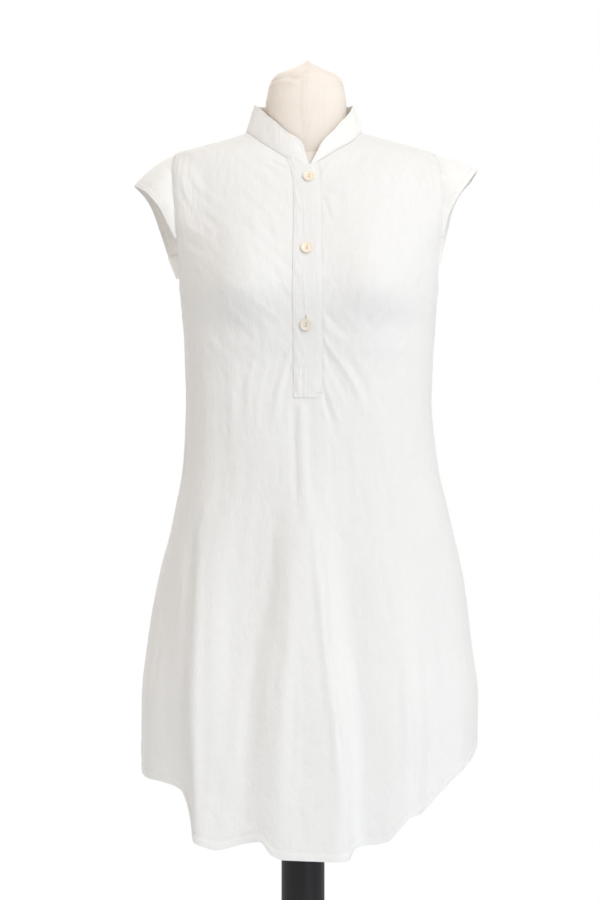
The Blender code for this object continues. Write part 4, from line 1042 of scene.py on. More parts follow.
sleeveRight = {
    "name": "sleeve_right", "side": 1, "bulge": 0.0030, "back": 0.26,
    "edge": (
        (0.1710, -0.0505, 1.2710), (0.1790, -0.0525, 1.3010), (0.1905, -0.0520, 1.3220),
        (0.2130, -0.0320, 1.3520), (0.2235, 0.0, 1.3640), (0.2160, 0.0300, 1.3520),
        (0.2040, 0.0470, 1.3400), (0.1915, 0.0540, 1.3170), (0.1835, 0.0560, 1.2850),
        (0.1735, 0.0520, 1.2450),
    ),
    "folds": (
        (0.12, 0.02, 0.020, -0.9), (0.19, 0.04, 0.020, 1.1), (0.27, 0.02, 0.022, -1.0),
        (0.34, 0.00, 0.024, 0.9), (0.44, -0.01, 0.028, -0.5), (0.55, 0.0, 0.030, 0.6),
        (0.64, 0.01, 0.024, -0.8), (0.73, 0.0, 0.026, 1.0), (0.82, -0.02, 0.022, -0.8),
    ),
}


def makeSleeve(style):
    # Cap from the armhole seam to its free edge: the straight line between them, raised by a
    # parabola, with bells of crease across and a turned hem at the free edge.
    direction = style["side"]
    low, tall = body["armpit"], body["tip"] - body["armpit"]
    frontStation = np.linspace(0.40, 1.0, 58)
    backStation = np.linspace(1.0, style["back"], 76)[1:]
    t = direction * np.concatenate([
        90.0 - armReach(frontStation, body["reachFront"]), 90.0 + armReach(backStation, body["reachBack"]),
    ])
    z = low + tall * np.concatenate([frontStation, backStation])
    seam, n = onCloth(t, z)
    run = np.gradient(seam, axis=0)
    run /= np.linalg.norm(run, axis=1, keepdims=True)
    beyond = np.cross(run, n)
    beyond /= np.linalg.norm(beyond, axis=1, keepdims=True)
    beyond *= np.sign(np.sum(beyond * np.array([direction, 0.0, 0.0])))
    seam = seam + beyond * body["gap"]
    length = np.concatenate([[0.0], np.cumsum(np.linalg.norm(np.diff(seam, axis=0), axis=1))])
    tip = length[len(frontStation) - 1]
    table = np.array(style["edge"])
    peak = int(np.argmax(table[:, 2]))
    knots = np.concatenate([[0.0], np.cumsum(np.linalg.norm(np.diff(table, axis=0), axis=1))])
    place = np.where(
        length <= tip, length / tip * knots[peak],
        knots[peak] + (length - tip) / (length[-1] - tip) * (knots[-1] - knots[peak]),
    )
    rows = np.column_stack([knots, table])
    free = np.stack([curveAt(rows, place, k) for k in (1, 2, 3)], axis=1)
    free[:, 0] = curveAt(rings, free[:, 2], 1) + direction * free[:, 0]
    w = np.concatenate([np.linspace(0.0, 0.80, 22), np.linspace(0.83, 1.0, 8)])[:, None, None]
    chord = free - seam
    wide = np.linalg.norm(chord, axis=1, keepdims=True)
    lift = np.cross(run, chord / wide)
    lift *= np.sign(np.sum(lift * n, axis=1, keepdims=True))
    lift /= np.maximum(np.linalg.norm(lift, axis=1, keepdims=True), 1e-9)
    grid = seam * (1 - w) + free * w + lift * (style["bulge"] * np.minimum(wide / 0.05, 1.0)) * 4 * w * (1 - w)
    along = (length / length[-1])[None]
    across = w[..., 0]
    size = np.minimum(wide[:, 0] / 0.035, 1.0)[None]
    height = np.zeros((len(across), len(length)))
    for middle_, drift, half, high in style["folds"]:
        height += high * bell(along - middle_ - drift * across, half)
    height *= ease(across / 0.14) * (1 - 0.35 * across)
    height += 0.35 * grain(grid, (0.012, 0.012, 0.012), 8) * ease(across / 0.1)
    inHem = (1 - across) * wide[:, 0][None]
    height += 0.45 * (1 - ease((inHem - 0.0065) / 0.0015)) - 0.35 * bell(inHem - 0.0078, 0.0013)
    height += 0.5 * grain(grid, (0.007, 0.007, 0.007), 9) * bell(inHem - 0.005, 0.006)
    grid = grid + lift * (height / 1000.0 * size)[..., None]
    face = gridFacing(grid, np.broadcast_to(n, grid.shape))
    face[0] = n
    uv = np.stack([np.broadcast_to(length[None], across.shape[:1] + length.shape) + 2.0,
                   across * wide[:, 0][None]], axis=-1)
    made = shell(style["name"], grid, face, body["wall"], "linenBias", uv)
    hemLine = np.argmin(np.abs(across[:, 0] - 0.90))
    reach = np.clip(1 - 0.0078 / np.maximum(wide[:, 0], 0.0079), 0.0, 1.0)
    index = np.interp(reach, across[:, 0], np.arange(len(across)))
    lowRow = np.floor(index).astype(int).clip(0, len(across) - 2)
    share = (index - lowRow)[:, None]
    columns = np.arange(len(length))
    stitched = grid[lowRow, columns] * (1 - share) + grid[lowRow + 1, columns] * share
    facing = face[hemLine]
    good = wide[:, 0] > 0.012
    return made, (stitched[good], facing[good], 0.0031, 0.0023, False)


capLeft, hemRunLeft = makeSleeve(sleeveLeft)
capRight, hemRunRight = makeSleeve(sleeveRight)
print("cap sleeves made")


# ---- collar

collar = {
    "height": 0.036,
    "corner": 0.012,
    "lean": ((0, 0.0080), (40, 0.0090), (90, 0.0110), (140, 0.0050), (180, 0.0030)),
    "leftEnd": 1.15,
    "rightEnd": 1.55,
    "leftSpread": -0.0095,
    "rightSpread": 0.0190,
    "leftReach": 0.045,
    "rightReach": 0.058,
    "columns": 250,
    "rows": 26,
    "wall": 0.0012,
}


def makeCollar(style):
    # Band on the neckline: each row is the neckline moved up and leaned in by a power of its
    # height, shortened at the rounded corners and spread apart at the front ends.
    turn = -(360.0 - style["rightEnd"] + style["leftEnd"])
    even = np.linspace(0.0, 1.0, style["columns"] + 1)
    fine = even - 0.055 * np.sin(2 * math.pi * even) / (2 * math.pi) * 4
    tLine = style["leftEnd"] + turn * np.linspace(0, 1, 1441)
    line = drape(tLine, cutHeight(necklineCut, tLine))
    length = np.concatenate([[0.0], np.cumsum(np.linalg.norm(np.diff(line, axis=0), axis=1))])
    total = length[-1]
    bend = np.linspace(0, math.pi / 2, 9)
    low = style["height"] - style["corner"]
    up = np.concatenate([np.linspace(0, low, style["rows"] - 8)[:-1], low + style["corner"] * np.sin(bend)])[:, None]
    over = np.maximum(0.0, up - low)
    cut = style["corner"] - np.sqrt(np.maximum(style["corner"] ** 2 - over ** 2, 0.0))
    place = cut + (total - 2 * cut) * fine[None]
    t = np.interp(place, length, tLine)
    w = up / style["height"]
    base = lambda a: drape(a, cutHeight(necklineCut, a))
    p = base(t)
    along = (base(t + 0.2) - base(t - 0.2))[..., :2]
    along /= np.linalg.norm(along, axis=-1, keepdims=True)
    out = np.stack([along[..., 1], -along[..., 0]], axis=-1)
    radial = p[..., :2] / np.linalg.norm(p[..., :2], axis=-1, keepdims=True)
    inward = -(out + radial)
    inward /= np.linalg.norm(inward, axis=-1, keepdims=True)
    p[..., :2] += inward * (curveAt(style["lean"], np.abs(wrapped(t))) * w ** 1.2)[..., None]
    nearLeft = bell(place, style["leftReach"])
    nearRight = bell(total - place, style["rightReach"])
    p[..., 0] += style["leftSpread"] * nearLeft * w ** 0.9 + style["rightSpread"] * nearRight * w ** 0.9
    p[..., 2] += up + 2 * body["gap"]
    face = gridFacing(p, outward(p))
    # topstitched edge, pressed seam and the slight waves between
    fromEdge = np.minimum(np.minimum(place, total - place), style["height"] - up)
    height = -0.00030 * bell(fromEdge - 0.0034, 0.0011) - 0.00030 * bell(up - 0.0030, 0.0011)
    level = up + 0 * place
    waves = grain(np.stack([place / 0.016, level / 0.020, 0 * place], axis=-1), 1.0, 11)
    fine_ = grain(np.stack([place / 0.006, level / 0.012, 0 * place], axis=-1), 1.0, 12)
    height = height + (0.00060 * waves + 0.00030 * fine_) * ease(up / 0.008) * ease(fromEdge / 0.004)
    height = height + 0.00025 * fine_ * bell(fromEdge - 0.0034, 0.003)
    grid = p + face * height[..., None]
    uv = np.stack([place + 3.0, level], axis=-1)
    made = shell("collar_band", grid, face, style["wall"], "linenSmooth", uv)
    # stitch lines follow the free edge and the seam, 3.4 mm and 3 mm in
    inset = 0.0034
    hold = style["corner"] - inset
    corner = np.linspace(0, math.pi / 2, 14)[1:-1]
    leftU = np.concatenate([
        np.full(12, inset), inset + hold * (1 - np.cos(corner)),
        np.linspace(inset + hold, total - inset - hold, 400),
        total - inset - hold * (1 - np.cos(corner[::-1])), np.full(12, total - inset),
    ])
    top = style["height"] - inset
    leftV = np.concatenate([
        np.linspace(0.004, top - hold, 12), top - hold + hold * np.sin(corner), np.full(400, top),
        top - hold + hold * np.sin(corner[::-1]), np.linspace(top - hold, 0.004, 12),
    ])

    def onBand(u, v):
        row = np.interp(v, up[:, 0], np.arange(len(up)))
        r0 = np.floor(row).astype(int).clip(0, len(up) - 2)
        f = (row - r0)[:, None]
        c0 = np.interp(v, up[:, 0], cut[:, 0])
        column = np.interp((u - c0) / (total - 2 * c0), fine, np.arange(len(fine)))
        k0 = np.floor(column).astype(int).clip(0, len(fine) - 2)
        g = (column - k0)[:, None]
        take = lambda field: (field[r0, k0] * (1 - f) * (1 - g) + field[r0 + 1, k0] * f * (1 - g)
                              + field[r0, k0 + 1] * (1 - f) * g + field[r0 + 1, k0 + 1] * f * g)
        return take(grid), take(face)

    edgePath, edgeFacing = onBand(leftU, leftV)
    seamU = np.linspace(0.004, total - 0.004, 420)
    seamPath, seamFacing = onBand(seamU, np.full(420, 0.0030))
    return made, [
        (edgePath, edgeFacing, 0.0030, 0.0022, False), (seamPath, seamFacing, 0.0030, 0.0022, False),
    ]


collarBand, collarRuns = makeCollar(collar)
print("collar made")


# ---- plackets

placket = {
    # height, left and right edge from the centre
    "edges": (
        (1.060, -0.0190, 0.0085), (1.110, -0.0200, 0.0094), (1.190, -0.0208, 0.0104),
        (1.270, -0.0195, 0.0100), (1.330, -0.0185, 0.0100), (1.352, -0.0190, 0.0088),
        (1.366, -0.0230, 0.0040),
    ),
    "under": 0.0163,
    "columns": 30,
    "inset": 0.0022,
    "boxTop": 1.1055,
}


def placketGrid(firstShare, leftOf, rightOf, columns):
    # Strip on the front panel's own rows from a share of the skirt up, between two edges.
    low = rowsFront[3][0 if firstShare == "foot" else 1]
    skirt = np.linspace(low, 1.0, 46)[:-1]
    yoke = np.linspace(0.0, 1.0, 70)
    rows = (
        np.concatenate([np.zeros(len(skirt)), np.ones(len(yoke))])[:, None],
        np.concatenate([skirt, yoke])[:, None], np.concatenate([np.zeros(len(skirt)), np.full(len(yoke), 0.5)])[:, None],
    )
    across = np.linspace(0.0, 1.0, columns + 1)[None]
    z = np.full((len(rows[0]), columns + 1), 1.2)
    for _ in range(6):
        x = leftOf(z) + (rightOf(z) - leftOf(z)) * across
        share = shareOfX(rows, np.where(np.abs(x) < 1e-6, 1e-6, x))
        t, z, _ = rowPlace(rows, share)
    return t, z, x, across


def placketStrip(name, first, leftOf, rightOf, columns, lift, style):
    # The strip stands off the draped form by lift, with pressed edges, stitch troughs along its
    # long sides, puckers between stitches and a soft fold down its middle.
    t, z, x, across = placketGrid(first, leftOf, rightOf, columns)
    if first != "foot":
        z = z + np.where(np.arange(len(z))[:, None] == 0, body["gap"], 0.0)
    z = z - np.where(np.arange(len(z))[:, None] == len(z) - 1, body["gap"], 0.0)
    n = facingOf(t, z)
    p = drape(t, z)
    wide = rightOf(z) - leftOf(z)
    fromLeft = across * wide
    fromRight = (1 - across) * wide
    height = np.zeros_like(z)
    if style == "over":
        tick = grain(np.stack([fromLeft / 0.006, z / 0.0062 + fromLeft / 0.006, 0 * z], axis=-1), 1.0, 14)
        soft = grain(np.stack([fromLeft / 0.014, z / 0.030, 0 * z], axis=-1), 1.0, 15)
        height += 0.00080 * tick * (bell(fromLeft - 0.004, 0.0045) + 0.6 * bell(fromRight - 0.003, 0.003))
        height += 0.00060 * soft * ease(fromLeft / 0.003) * ease(fromRight / 0.003)
        height -= 0.00040 * (bell(fromLeft - placket["inset"], 0.0009) + bell(fromRight - placket["inset"], 0.0009))
        height += 0.00045 * bell(fromRight - 0.0007, 0.0008)
        ridge = x - (-0.0060 + 0.0010 * np.sin((z - 1.15) * 60.0))
        dashes = ease(np.sin((z - 1.060) / 0.0955 * 2 * math.pi - 1.2) * 1.4 + 0.4)
        height += 0.00085 * bell(ridge, 0.0012) * dashes * ease((z - 1.115) / 0.01) * ease((1.34 - z) / 0.01)
        height += 0.00060 * bell(z - placket["boxTop"], 0.0010) - 0.00045 * bell(z - placket["boxTop"] + 0.0022, 0.0012)
        box = grain(np.stack([x / 0.005, z / 0.007, 0 * z], axis=-1), 1.0, 16)
        inBox = ease((placket["boxTop"] - z) / 0.004)
        height += 0.00045 * box * inBox
        height += inBox * (0.00050 * bell(x + 0.0120, 0.0016) - 0.00040 * bell(x + 0.0090, 0.0009)
                           + 0.00060 * bell(x + 0.0052, 0.0018) - 0.00040 * bell(x + 0.0019, 0.0009))
        height = np.maximum(height, -0.00030)
    else:
        tick = grain(np.stack([x / 0.008, z / 0.008, 0 * z], axis=-1), 1.0, 17)
        height += 0.00025 * tick * ease((x - 0.010) / 0.001) * ease((0.0160 - x) / 0.001)
    wall = 0.0006 if style == "over" else 0.0009
    if style == "over":
        height = 0.00095 + height - 0.00025 * bell(fromLeft, 0.0008)
    grid = p + n * (lift + height)[..., None]
    uv = np.stack([x + 4.0, z], axis=-1)
    made = shell(name, grid, n, wall, "linenSmooth", uv)
    return made, (t, z, x, grid, n)


overEdges = (lambda z: curveAt(placket["edges"], z, 1), lambda z: curveAt(placket["edges"], z, 2))
placketOver, over = placketStrip(
    "placket_strip", "foot", overEdges[0], overEdges[1], placket["columns"], body["gap"], "over",
)
placketUnder, under = placketStrip(
    "placket_lining", "slit", lambda z: -placket["under"] + 0 * z, lambda z: placket["under"] + 0 * z,
    24, 0.0, "under",
)


def stripPath(strip, x, z):
    # Points and normals on a strip's grid at the wanted x and z: blended between its rows and
    # columns.
    _, zs, xs, grid, n = strip
    row = np.interp(z, zs[:, zs.shape[1] // 2], np.arange(len(zs)))
    r0 = np.floor(row).astype(int).clip(0, len(zs) - 2)
    f = (row - r0)[:, None]
    lowX = xs[r0, 0] * (1 - f[:, 0]) + xs[r0 + 1, 0] * f[:, 0]
    highX = xs[r0, -1] * (1 - f[:, 0]) + xs[r0 + 1, -1] * f[:, 0]
    column = (x - lowX) / (highX - lowX) * (xs.shape[1] - 1)
    k0 = np.floor(column).astype(int).clip(0, xs.shape[1] - 2)
    g = (column - k0)[:, None]
    take = lambda field: (field[r0, k0] * (1 - f) * (1 - g) + field[r0 + 1, k0] * f * (1 - g)
                          + field[r0, k0 + 1] * (1 - f) * g + field[r0 + 1, k0 + 1] * f * g)
    return take(grid), take(n)


def placketRuns():
    # Stitch lines of the over strip: both long edges, the box at its foot and its cross.
    inset = placket["inset"]
    z = np.linspace(1.0690, 1.3575, 260)
    runs = []
    for x in (overEdges[0](z) + inset, overEdges[1](z) - inset):
        path, n = stripPath(over, x, z)
        runs.append((path, n, 0.0029, 0.0021, False))
    boxTop = placket["boxTop"] - 0.0012
    lowLeft, lowRight = overEdges[0](1.069) + inset, overEdges[1](1.069) - inset
    topLeft, topRight = overEdges[0](boxTop) + inset, overEdges[1](boxTop) - inset
    corners = {
        "top": ((topLeft, boxTop), (topRight, boxTop)),
        "foot": ((lowLeft, 1.0690), (lowRight, 1.0690)),
        "insideLeft": ((-0.0088, 1.0700), (-0.0092, boxTop)),
        "insideRight": ((-0.0020, 1.0700), (-0.0018, boxTop)),
    }
    for start, end in corners.values():
        s = np.linspace(0, 1, 40)
        path, n = stripPath(over, start[0] + (end[0] - start[0]) * s, start[1] + (end[1] - start[1]) * s)
        runs.append((path, n, 0.0027, 0.0020, False))
    return runs


print("plackets made")


# ---- buttons, their thread and buttonholes

button = {
    "radius": 0.0075,
    "thick": 0.0030,
    "hole": 0.0011,
    "holeApart": 0.0017,
    # x from the centre, height, finish, buttonhole's reach above and below the button's middle
    "places": (
        (0.0016, 1.3455, "horn", 0.0088, 0.0060), (-0.0030, 1.2526, "horn", 0.0092, 0.0060),
        (-0.0045, 1.1570, "hornPale", 0.0128, 0.0030),
    ),
}


def buttonSeat(x, z):
    # Middle of a button's back and its three directions: right, up and out.
    t = frontAngle(x, z)
    n = facingOf(np.array(t), np.array(z))
    p = drape(np.array(t), np.array(z)) + n * (body["gap"] + 0.0013)
    right_ = np.cross(np.array([0.0, 0.0, 1.0]), n)
    right_ /= np.linalg.norm(right_)
    return p, right_, np.cross(n, right_), n


def makeButton(name, x, z, finish):
    # Round profile of radius and height, with two round wells in its face.
    profile = np.array([
        (0.0, 0.0), (0.0050, 0.0), (0.0066, 0.00015), (0.0073, 0.0007), (0.0075, 0.0014), (0.0075, 0.0018),
        (0.00735, 0.0025), (0.0070, 0.0029), (0.0066, 0.0030), (0.0062, 0.0029), (0.0058, 0.00262),
        (0.0053, 0.00242), (0.0047, 0.00234), (0.0041, 0.00230), (0.0036, 0.00228), (0.0031, 0.00227),
        (0.0027, 0.00226), (0.0023, 0.00225), (0.0019, 0.00225), (0.0015, 0.00225), (0.0012, 0.00225),
        (0.0009, 0.00225), (0.0006, 0.00225), (0.0003, 0.00225),
    ])[1:]
    angle = np.linspace(0, 2 * math.pi, 72, endpoint=False)
    r = profile[:, 0][:, None]
    u, v = r * np.cos(angle), r * np.sin(angle)
    h = np.broadcast_to(profile[:, 1][:, None], u.shape) * 1.0
    top = (h > 0.0021) & (r < 0.0050)
    for dy in (-button["holeApart"], button["holeApart"]):
        well = 1 - ease((np.hypot(u, v - dy) - button["hole"] * 0.72) / (button["hole"] * 0.5))
        h = np.where(top, h - 0.0015 * well, h)
    seat, right_, up_, out_ = buttonSeat(x, z)
    grid = seat + u[..., None] * right_ + v[..., None] * up_ + h[..., None] * out_
    return turnedForm(name, grid, finish, foot=seat, top=seat + out_ * 0.00225)


def buttonRuns(x, z):
    # Three strands of thread between the two wells.
    seat, right_, up_, out_ = buttonSeat(x, z)
    runs = []
    for shift in (-0.00035, 0.0, 0.00035):
        s = np.linspace(-0.0021, 0.0021, 12)[:, None]
        path = seat + right_ * shift + up_ * s + out_ * 0.00245
        runs.append((path, np.broadcast_to(out_, path.shape), 0.0035, 0.0040, False))
    return runs


def buttonholeRuns(x, z, above, below):
    # Oval of close stitches across its line, round a straight slit.
    s = np.linspace(0, 2 * math.pi, 90)
    tall = (above + below) / 2
    middle_ = z + (above - below) / 2
    ovalX = x + 0.0011 * np.sign(np.cos(s)) * np.abs(np.cos(s)) ** 0.5
    ovalZ = middle_ + tall * np.sign(np.sin(s)) * np.abs(np.sin(s)) ** 0.8
    path, n = stripPath(over, ovalX, ovalZ)
    return (path, n, 0.00046, 0.0013, True)


# Dark bead along each buttonhole's cut: painted shade standing in for the shade inside the slit.
def slitShadeRun(x, z, above, below):
    s = np.linspace(z - below + 0.0006, z + above - 0.0006, 30)
    path, n = stripPath(over, x + 0 * s, s)
    return (path, n, above + below - 0.0022, above + below - 0.0024, False)


buttons = []
buttonThread = []
holeRuns = []
slitShadeRuns = []
for number, (bx, bz, bFinish, above, below) in enumerate(button["places"], start=1):
    buttons.append(makeButton(f"button_disc_{number}", bx, bz, bFinish))
    buttonThread.append(stitches(f"button_thread_{number}", buttonRuns(bx, bz), "buttonThread", 0.00022))
    holeRuns.append(buttonholeRuns(bx, bz, above, below))
    slitShadeRuns.append(slitShadeRun(bx, bz, above, below))
buttonholes = stitches("buttonhole_stitches", holeRuns, "thread", 0.00024)
# the slits are painted shade: dark beads where the shade inside each cut falls
buttonSlitShade = stitches("buttonhole_slit_shade", slitShadeRuns, "slit", 0.00028)
placketStitches = stitches("placket_stitches", placketRuns(), "thread", 0.00026)
collarStitches = stitches("collar_stitches", collarRuns, "thread", 0.00026)
sleeveStitchesLeft = stitches("sleeve_stitches_left", [hemRunLeft], "thread", 0.00026)
sleeveStitchesRight = stitches("sleeve_stitches_right", [hemRunRight], "thread", 0.00026)
print("buttons and placket stitches made")


# ---- stitch lines of the panels

def clothRun(t, z):
    path, n = onCloth(t, z)
    return (path, n, 0.0032, 0.0024, False)


def armholeRun(direction, back, inset):
    # Line beside the armhole at an inset from its edge.
    station = np.linspace(0.03, 0.97, 160)
    reach = armReach(station, body["reachBack"] if back else body["reachFront"])
    z = body["armpit"] + (body["tip"] - body["armpit"]) * station
    offset = inset / 0.0031
    t = 90.0 + reach + offset if back else 90.0 - reach - offset
    return clothRun(direction * t, z)


tHem = np.linspace(-89.6, 89.6, 700)
tHemBack = np.linspace(90.4, 269.6, 700)
zSide = np.linspace(0.60, 1.190, 260)
frontRuns = [clothRun(tHem, hemHeight(tHem) + 0.0098)]
backRuns = [clothRun(tHemBack, hemHeight(tHemBack) + 0.0098)]
for direction in (-1, 1):
    frontRuns += [armholeRun(direction, False, 0.0064), armholeRun(direction, False, 0.0016)]
    backRuns += [armholeRun(direction, True, 0.0064), armholeRun(direction, True, 0.0016)]
    backRuns.append(clothRun(direction * (90.0 + 1.9) + 0 * zSide, np.maximum(zSide, 0.64 if direction > 0 else 0.60)))
frontStitches = stitches("front_stitches", frontRuns, "thread", 0.00026)
backStitches = stitches("back_stitches", backRuns, "thread", 0.00026)
print("panel stitches made")


# ---- dress form

form = {
    "foot": 0.70,
    "seat": 0.00045,
    "wall": 0.0012,
    # height, clearance at the side, in front, behind
    "clearance": (
        (0.700, 0.0550, 0.0500, 0.0360), (0.800, 0.0360, 0.0290, 0.0180),
        (0.900, 0.0220, 0.0210, 0.0070), (1.000, 0.0300, 0.0250, 0.0110),
        (1.060, 0.0350, 0.0260, 0.0130), (1.120, 0.0290, 0.0190, 0.0130),
        (1.180, 0.0220, 0.0120, 0.0110), (1.250, 0.0190, 0.0060, 0.0050),
        (1.300, 0.0180, 0.0030, 0.0020), (1.340, 0.0150, 0.0014, 0.0010),
        (1.365, 0.0120, 0.0010, 0.0006), (1.3835, 0.0030, 0.0008, 0.0004),
        (1.3935, 0.0004, 0.0007, 0.0004), (1.4092, 0.0004, 0.0012, 0.0009),
        (1.4245, 0.0010, 0.0030, 0.0020),
    ),
    # height, centre x, half width, depth, centre y
    "neck": (
        (1.452, 0.0040, 0.0525, 0.0500, -0.003), (1.468, 0.0040, 0.0490, 0.0480, -0.003),
        (1.477, 0.0045, 0.0465, 0.0460, -0.003), (1.485, 0.0045, 0.0405, 0.0405, -0.003),
        (1.4925, 0.0045, 0.0260, 0.0260, -0.003), (1.4985, 0.0055, 0.0130, 0.0130, -0.003),
        (1.5025, 0.0060, 0.0050, 0.0050, -0.003),
    ),
    "peak": (0.0065, -0.003, 1.5055),
    # height, x of the front seam
    "seamLine": (
        (1.380, 0.0038), (1.400, 0.0036), (1.416, 0.0025), (1.445, -0.0007), (1.483, 0.0025),
        (1.496, 0.0060), (1.505, 0.0065),
    ),
    # x, height, half width, depth
    "dents": ((-0.0150, 1.4775, 0.009, 0.0030), (0.0290, 1.4740, 0.008, 0.0024)),
    "columns": 480,
}


def formPoint(t, z):
    # Smooth body moved in along its normal by wall, seat and clearance.
    t, z = np.broadcast_arrays(np.asarray(t, dtype=float), np.asarray(z, dtype=float))
    p = smoothBody(t, z)
    du = smoothBody(t + 0.5, z) - smoothBody(t - 0.5, z)
    dv = smoothBody(t, z + 0.0015) - smoothBody(t, z - 0.0015)
    n = np.cross(du, dv)
    n /= np.linalg.norm(n, axis=-1, keepdims=True)
    n *= np.where(np.sum(n * outward(p), axis=-1, keepdims=True) < 0, -1.0, 1.0)
    n[..., 2] *= ease((z - 1.24) / 0.08)
    n /= np.linalg.norm(n, axis=-1, keepdims=True)
    s2 = np.sin(np.radians(t)) ** 2
    ahead = np.cos(np.radians(t)) > 0
    face = np.where(ahead, curveAt(form["clearance"], z, 2), curveAt(form["clearance"], z, 3))
    clear = curveAt(form["clearance"], z, 1) * s2 + face * (1 - s2)
    # seams of the cover: centre, sides and the round of each shoulder plate
    seams = bell(wrapped(t) * 0.0028, 0.0012) + bell(wrapped(t - 180.0) * 0.0028, 0.0012)
    plate = np.hypot(p[..., 1] / 0.046, (z - 1.300) / 0.072)
    onSide = ease((np.abs(np.sin(np.radians(t))) - 0.72) / 0.1)
    seams = seams + bell((plate - 1.0) * 0.055, 0.0013) * onSide
    return p - n * (form["wall"] + form["seat"] + clear + 0.0006 * seams)[..., None]


def makeTorso():
    t = np.linspace(0.0, 360.0, form["columns"], endpoint=False)[None]
    low = np.linspace(form["foot"], body["armpit"], 60)[:-1][:, None]
    base = cutHeight(neckBaseCut, t)
    rise = np.linspace(0.0, 1.0, 64)[:, None]
    grid = np.concatenate([formPoint(t, low), formPoint(t, body["armpit"] + (base - body["armpit"]) * rise)])
    made = turnedForm("form_torso", grid, "cover", rim=(0,))
    return made, grid[-1]


def makeNeck(baseLine):
    # Rings from the tilted base line to a level ring, then a smooth profile to the peak, with the
    # cover's seams, the dents below its top seam and a turned seam at the base.
    lowest = baseLine + np.array([0.0, 0.0, body["gap"]])
    azimuth = np.arctan2(lowest[:, 0] - 0.004, -lowest[:, 1])
    order = np.arange(len(form["neck"]) + 1)
    rowsUp = [(k, *row) for k, row in enumerate(form["neck"])]
    rowsUp.append((len(rowsUp), form["peak"][2] - 0.0002, form["peak"][0], 0.0008, 0.0008, form["peak"][1]))
    s = np.linspace(0.0, order[-1], 74)[:, None]
    z, cx, half, deep, cy = (curveAt(rowsUp, s, k) for k in range(1, 6))
    level = np.stack(np.broadcast_arrays(
        cx + half * np.sin(azimuth), cy - deep * np.cos(azimuth), z), axis=-1)
    w = np.linspace(0.0, 1.0, 40)[:-1, None, None]
    blend = lowest * (1 - w) + level[0] * w
    blend[..., :2] = lowest[:, :2] + (level[0] - lowest)[:, :2] * (1 - (1 - w) ** 2)
    grid = np.concatenate([blend, level])
    x, y, zz = grid[..., 0], grid[..., 1], grid[..., 2]
    ahead = ease(-y / 0.02)
    out = outward(grid - np.array([0.004, -0.003, 0.0]))
    out /= np.linalg.norm(out, axis=-1, keepdims=True)
    # the front seam wanders down from the peak, its right half a little proud of the left
    line = curveAt(form["seamLine"], zz)
    height = 0.0013 * bell(x - line, 0.0010) - 0.0009 * bell(x - line - 0.0022, 0.0011)
    height += 0.0010 * (ease((x - line + 0.001) / 0.004) - 1) * (1 - ease((line - x - 0.004) / 0.03))
    second = 0.0229 + 0.003 * ease((zz - 1.455) / 0.02)
    fade = ease((1.480 - zz) / 0.015) * ease((zz - 1.395) / 0.02)
    height += (-0.0012 * bell(x - second - 0.002, 0.0022) + 0.0008 * bell(x - second + 0.002, 0.0022)) * fade
    # curved seam of the top piece, with a dent on each side of the front seam
    arc = 1.4800 - 0.10 * (x - 0.005) ** 2 / 0.04 - 0.004 * bell(x - 0.005, 0.010)
    height += -0.0010 * bell(zz - arc, 0.0013) + 0.0008 * bell(zz - arc + 0.0035, 0.0025)
    for dentX, dentZ, wide, deep in form["dents"]:
        height += -deep * bell(x - dentX, wide) * bell(zz - dentZ, 0.0034)
        height += 0.6 * deep * bell(x - dentX, wide) * bell(zz - dentZ + 0.0075, 0.0035)
    height *= ahead
    height += 0.0005 * grain(grid, (0.016, 0.016, 0.030), 21) * ease((1.50 - zz) / 0.01)
    height += 0.00012 * grain(grid, (0.004, 0.004, 0.004), 22)
    height = height * ease((zz - lowest[:, 2]) / 0.012)
    grid = grid + out * height[..., None]
    made = turnedForm("form_top", grid, "cover", foot=lowest.mean(axis=0), top=form["peak"], rim=(0,))
    return made


formTorso, neckBase = makeTorso()
formTop = makeNeck(neckBase)
print("dress form made")


# ---- pole and base

stand = {
    "sides": 128,
    "pole": (
        (0.0270, 0.0423), (0.0280, 0.0433), (0.0280, 0.10), (0.0280, 0.25), (0.0280, 0.40),
        (0.0280, 0.55), (0.0280, 0.6987), (0.0270, 0.6997),
    ),
    "base": (
        (0.1810, 0.0), (0.1838, 0.0012), (0.1850, 0.0040), (0.1850, 0.0110), (0.1843, 0.0133),
        (0.1830, 0.0150), (0.1808, 0.0167), (0.1780, 0.0178), (0.1700, 0.0182), (0.1400, 0.0186),
        (0.1000, 0.0191), (0.0600, 0.0197), (0.0440, 0.0201), (0.0400, 0.0206), (0.0372, 0.0222),
        (0.0360, 0.0250), (0.0360, 0.0300), (0.0360, 0.0385), (0.0355, 0.0405), (0.0344, 0.0416),
        (0.0330, 0.0420), (0.0300, 0.0420),
    ),
}


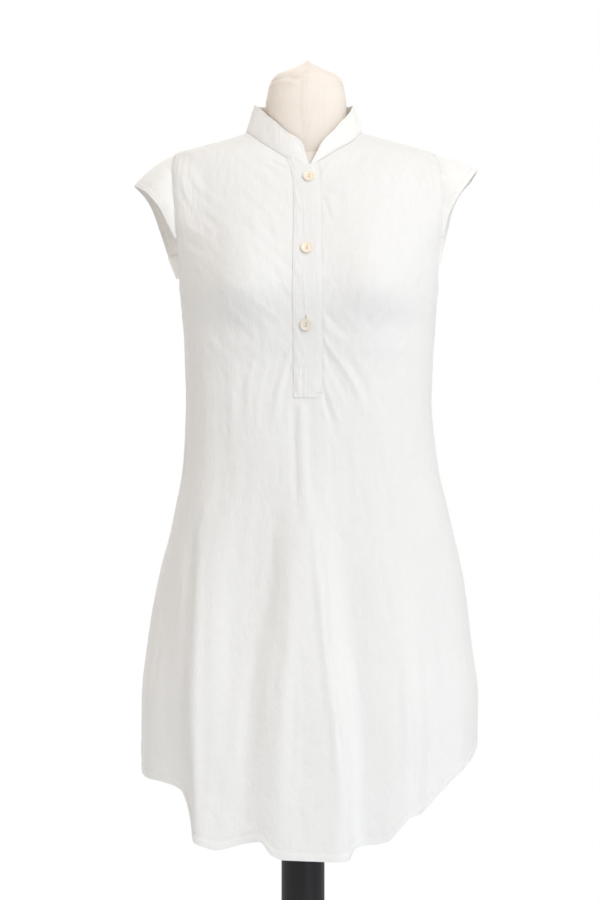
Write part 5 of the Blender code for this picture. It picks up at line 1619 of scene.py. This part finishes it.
def turnedStand(name, profile, rim):
    # Profile of radius and height carried round the pole's axis.
    angle = np.linspace(0, 2 * math.pi, stand["sides"], endpoint=False)
    r, z = np.array(profile)[:, 0][:, None], np.array(profile)[:, 1][:, None]
    grid = np.stack(np.broadcast_arrays(r * np.cos(angle), r * np.sin(angle), z), axis=-1)
    return turnedForm(name, grid, "stand", rim=rim)


poleTube = turnedStand("pole_tube", stand["pole"], (0, 7))
basePlate = turnedStand("base_plate", stand["base"], (0, 21))
print("stand made")


# ---- floor

floorRing = np.linspace(0, 2 * math.pi, 96, endpoint=False)
floorGrid = np.stack(np.broadcast_arrays(
    np.array([[1.0], [0.5], [0.1]]) * view["floorRadius"] * np.cos(floorRing),
    np.array([[1.0], [0.5], [0.1]]) * view["floorRadius"] * np.sin(floorRing), 0.0), axis=-1)
floorPoints = np.concatenate([floorGrid.reshape(-1, 3), [[0.0, 0.0, 0.0]]])
fan = np.arange(96)
floorTris = np.stack([192 + fan, 192 + (fan + 1) % 96, np.full(96, 288)], axis=1)
floor = makeMesh("floor", floorPoints, cellQuads(3, 96, True).reshape(-1, 4), floorTris, finish="floor")


# ---- each piece on the root body, with the model's nodes it stands for hidden

def place(piece, slot, *nodes):
    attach(piece, "root")
    if nodes:
        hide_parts(*nodes)


place(frontPanel, "linen", "front_panel")
place(backPanel, "linen", "back_panel")
place(capLeft, "linen", "cap_sleeve_left")
place(capRight, "linen", "cap_sleeve_right")
place(collarBand, "linen", "collar")
place(placketOver, "linen", "placket_over")
place(placketUnder, "linen", "placket_under")
for number, disc in enumerate(buttons, start=1):
    place(disc, "button", f"button_{number}")
place(formTorso, "form_cover", "form_body")
place(formTop, "form_cover", "form_neck")
place(poleTube, "stand", "pole")
place(basePlate, "stand", "base")
for thread in buttonThread + [
    buttonholes, buttonSlitShade, placketStitches, collarStitches, sleeveStitchesLeft,
    sleeveStitchesRight, frontStitches, backStitches,
]:
    place(thread, "linen")

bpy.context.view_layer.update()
print("triangles:", sum(
    len(p.vertices) - 2 for o in bpy.data.objects if o.type == "MESH" and o.visible_get() and "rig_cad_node" not in o
    for p in o.data.polygons))
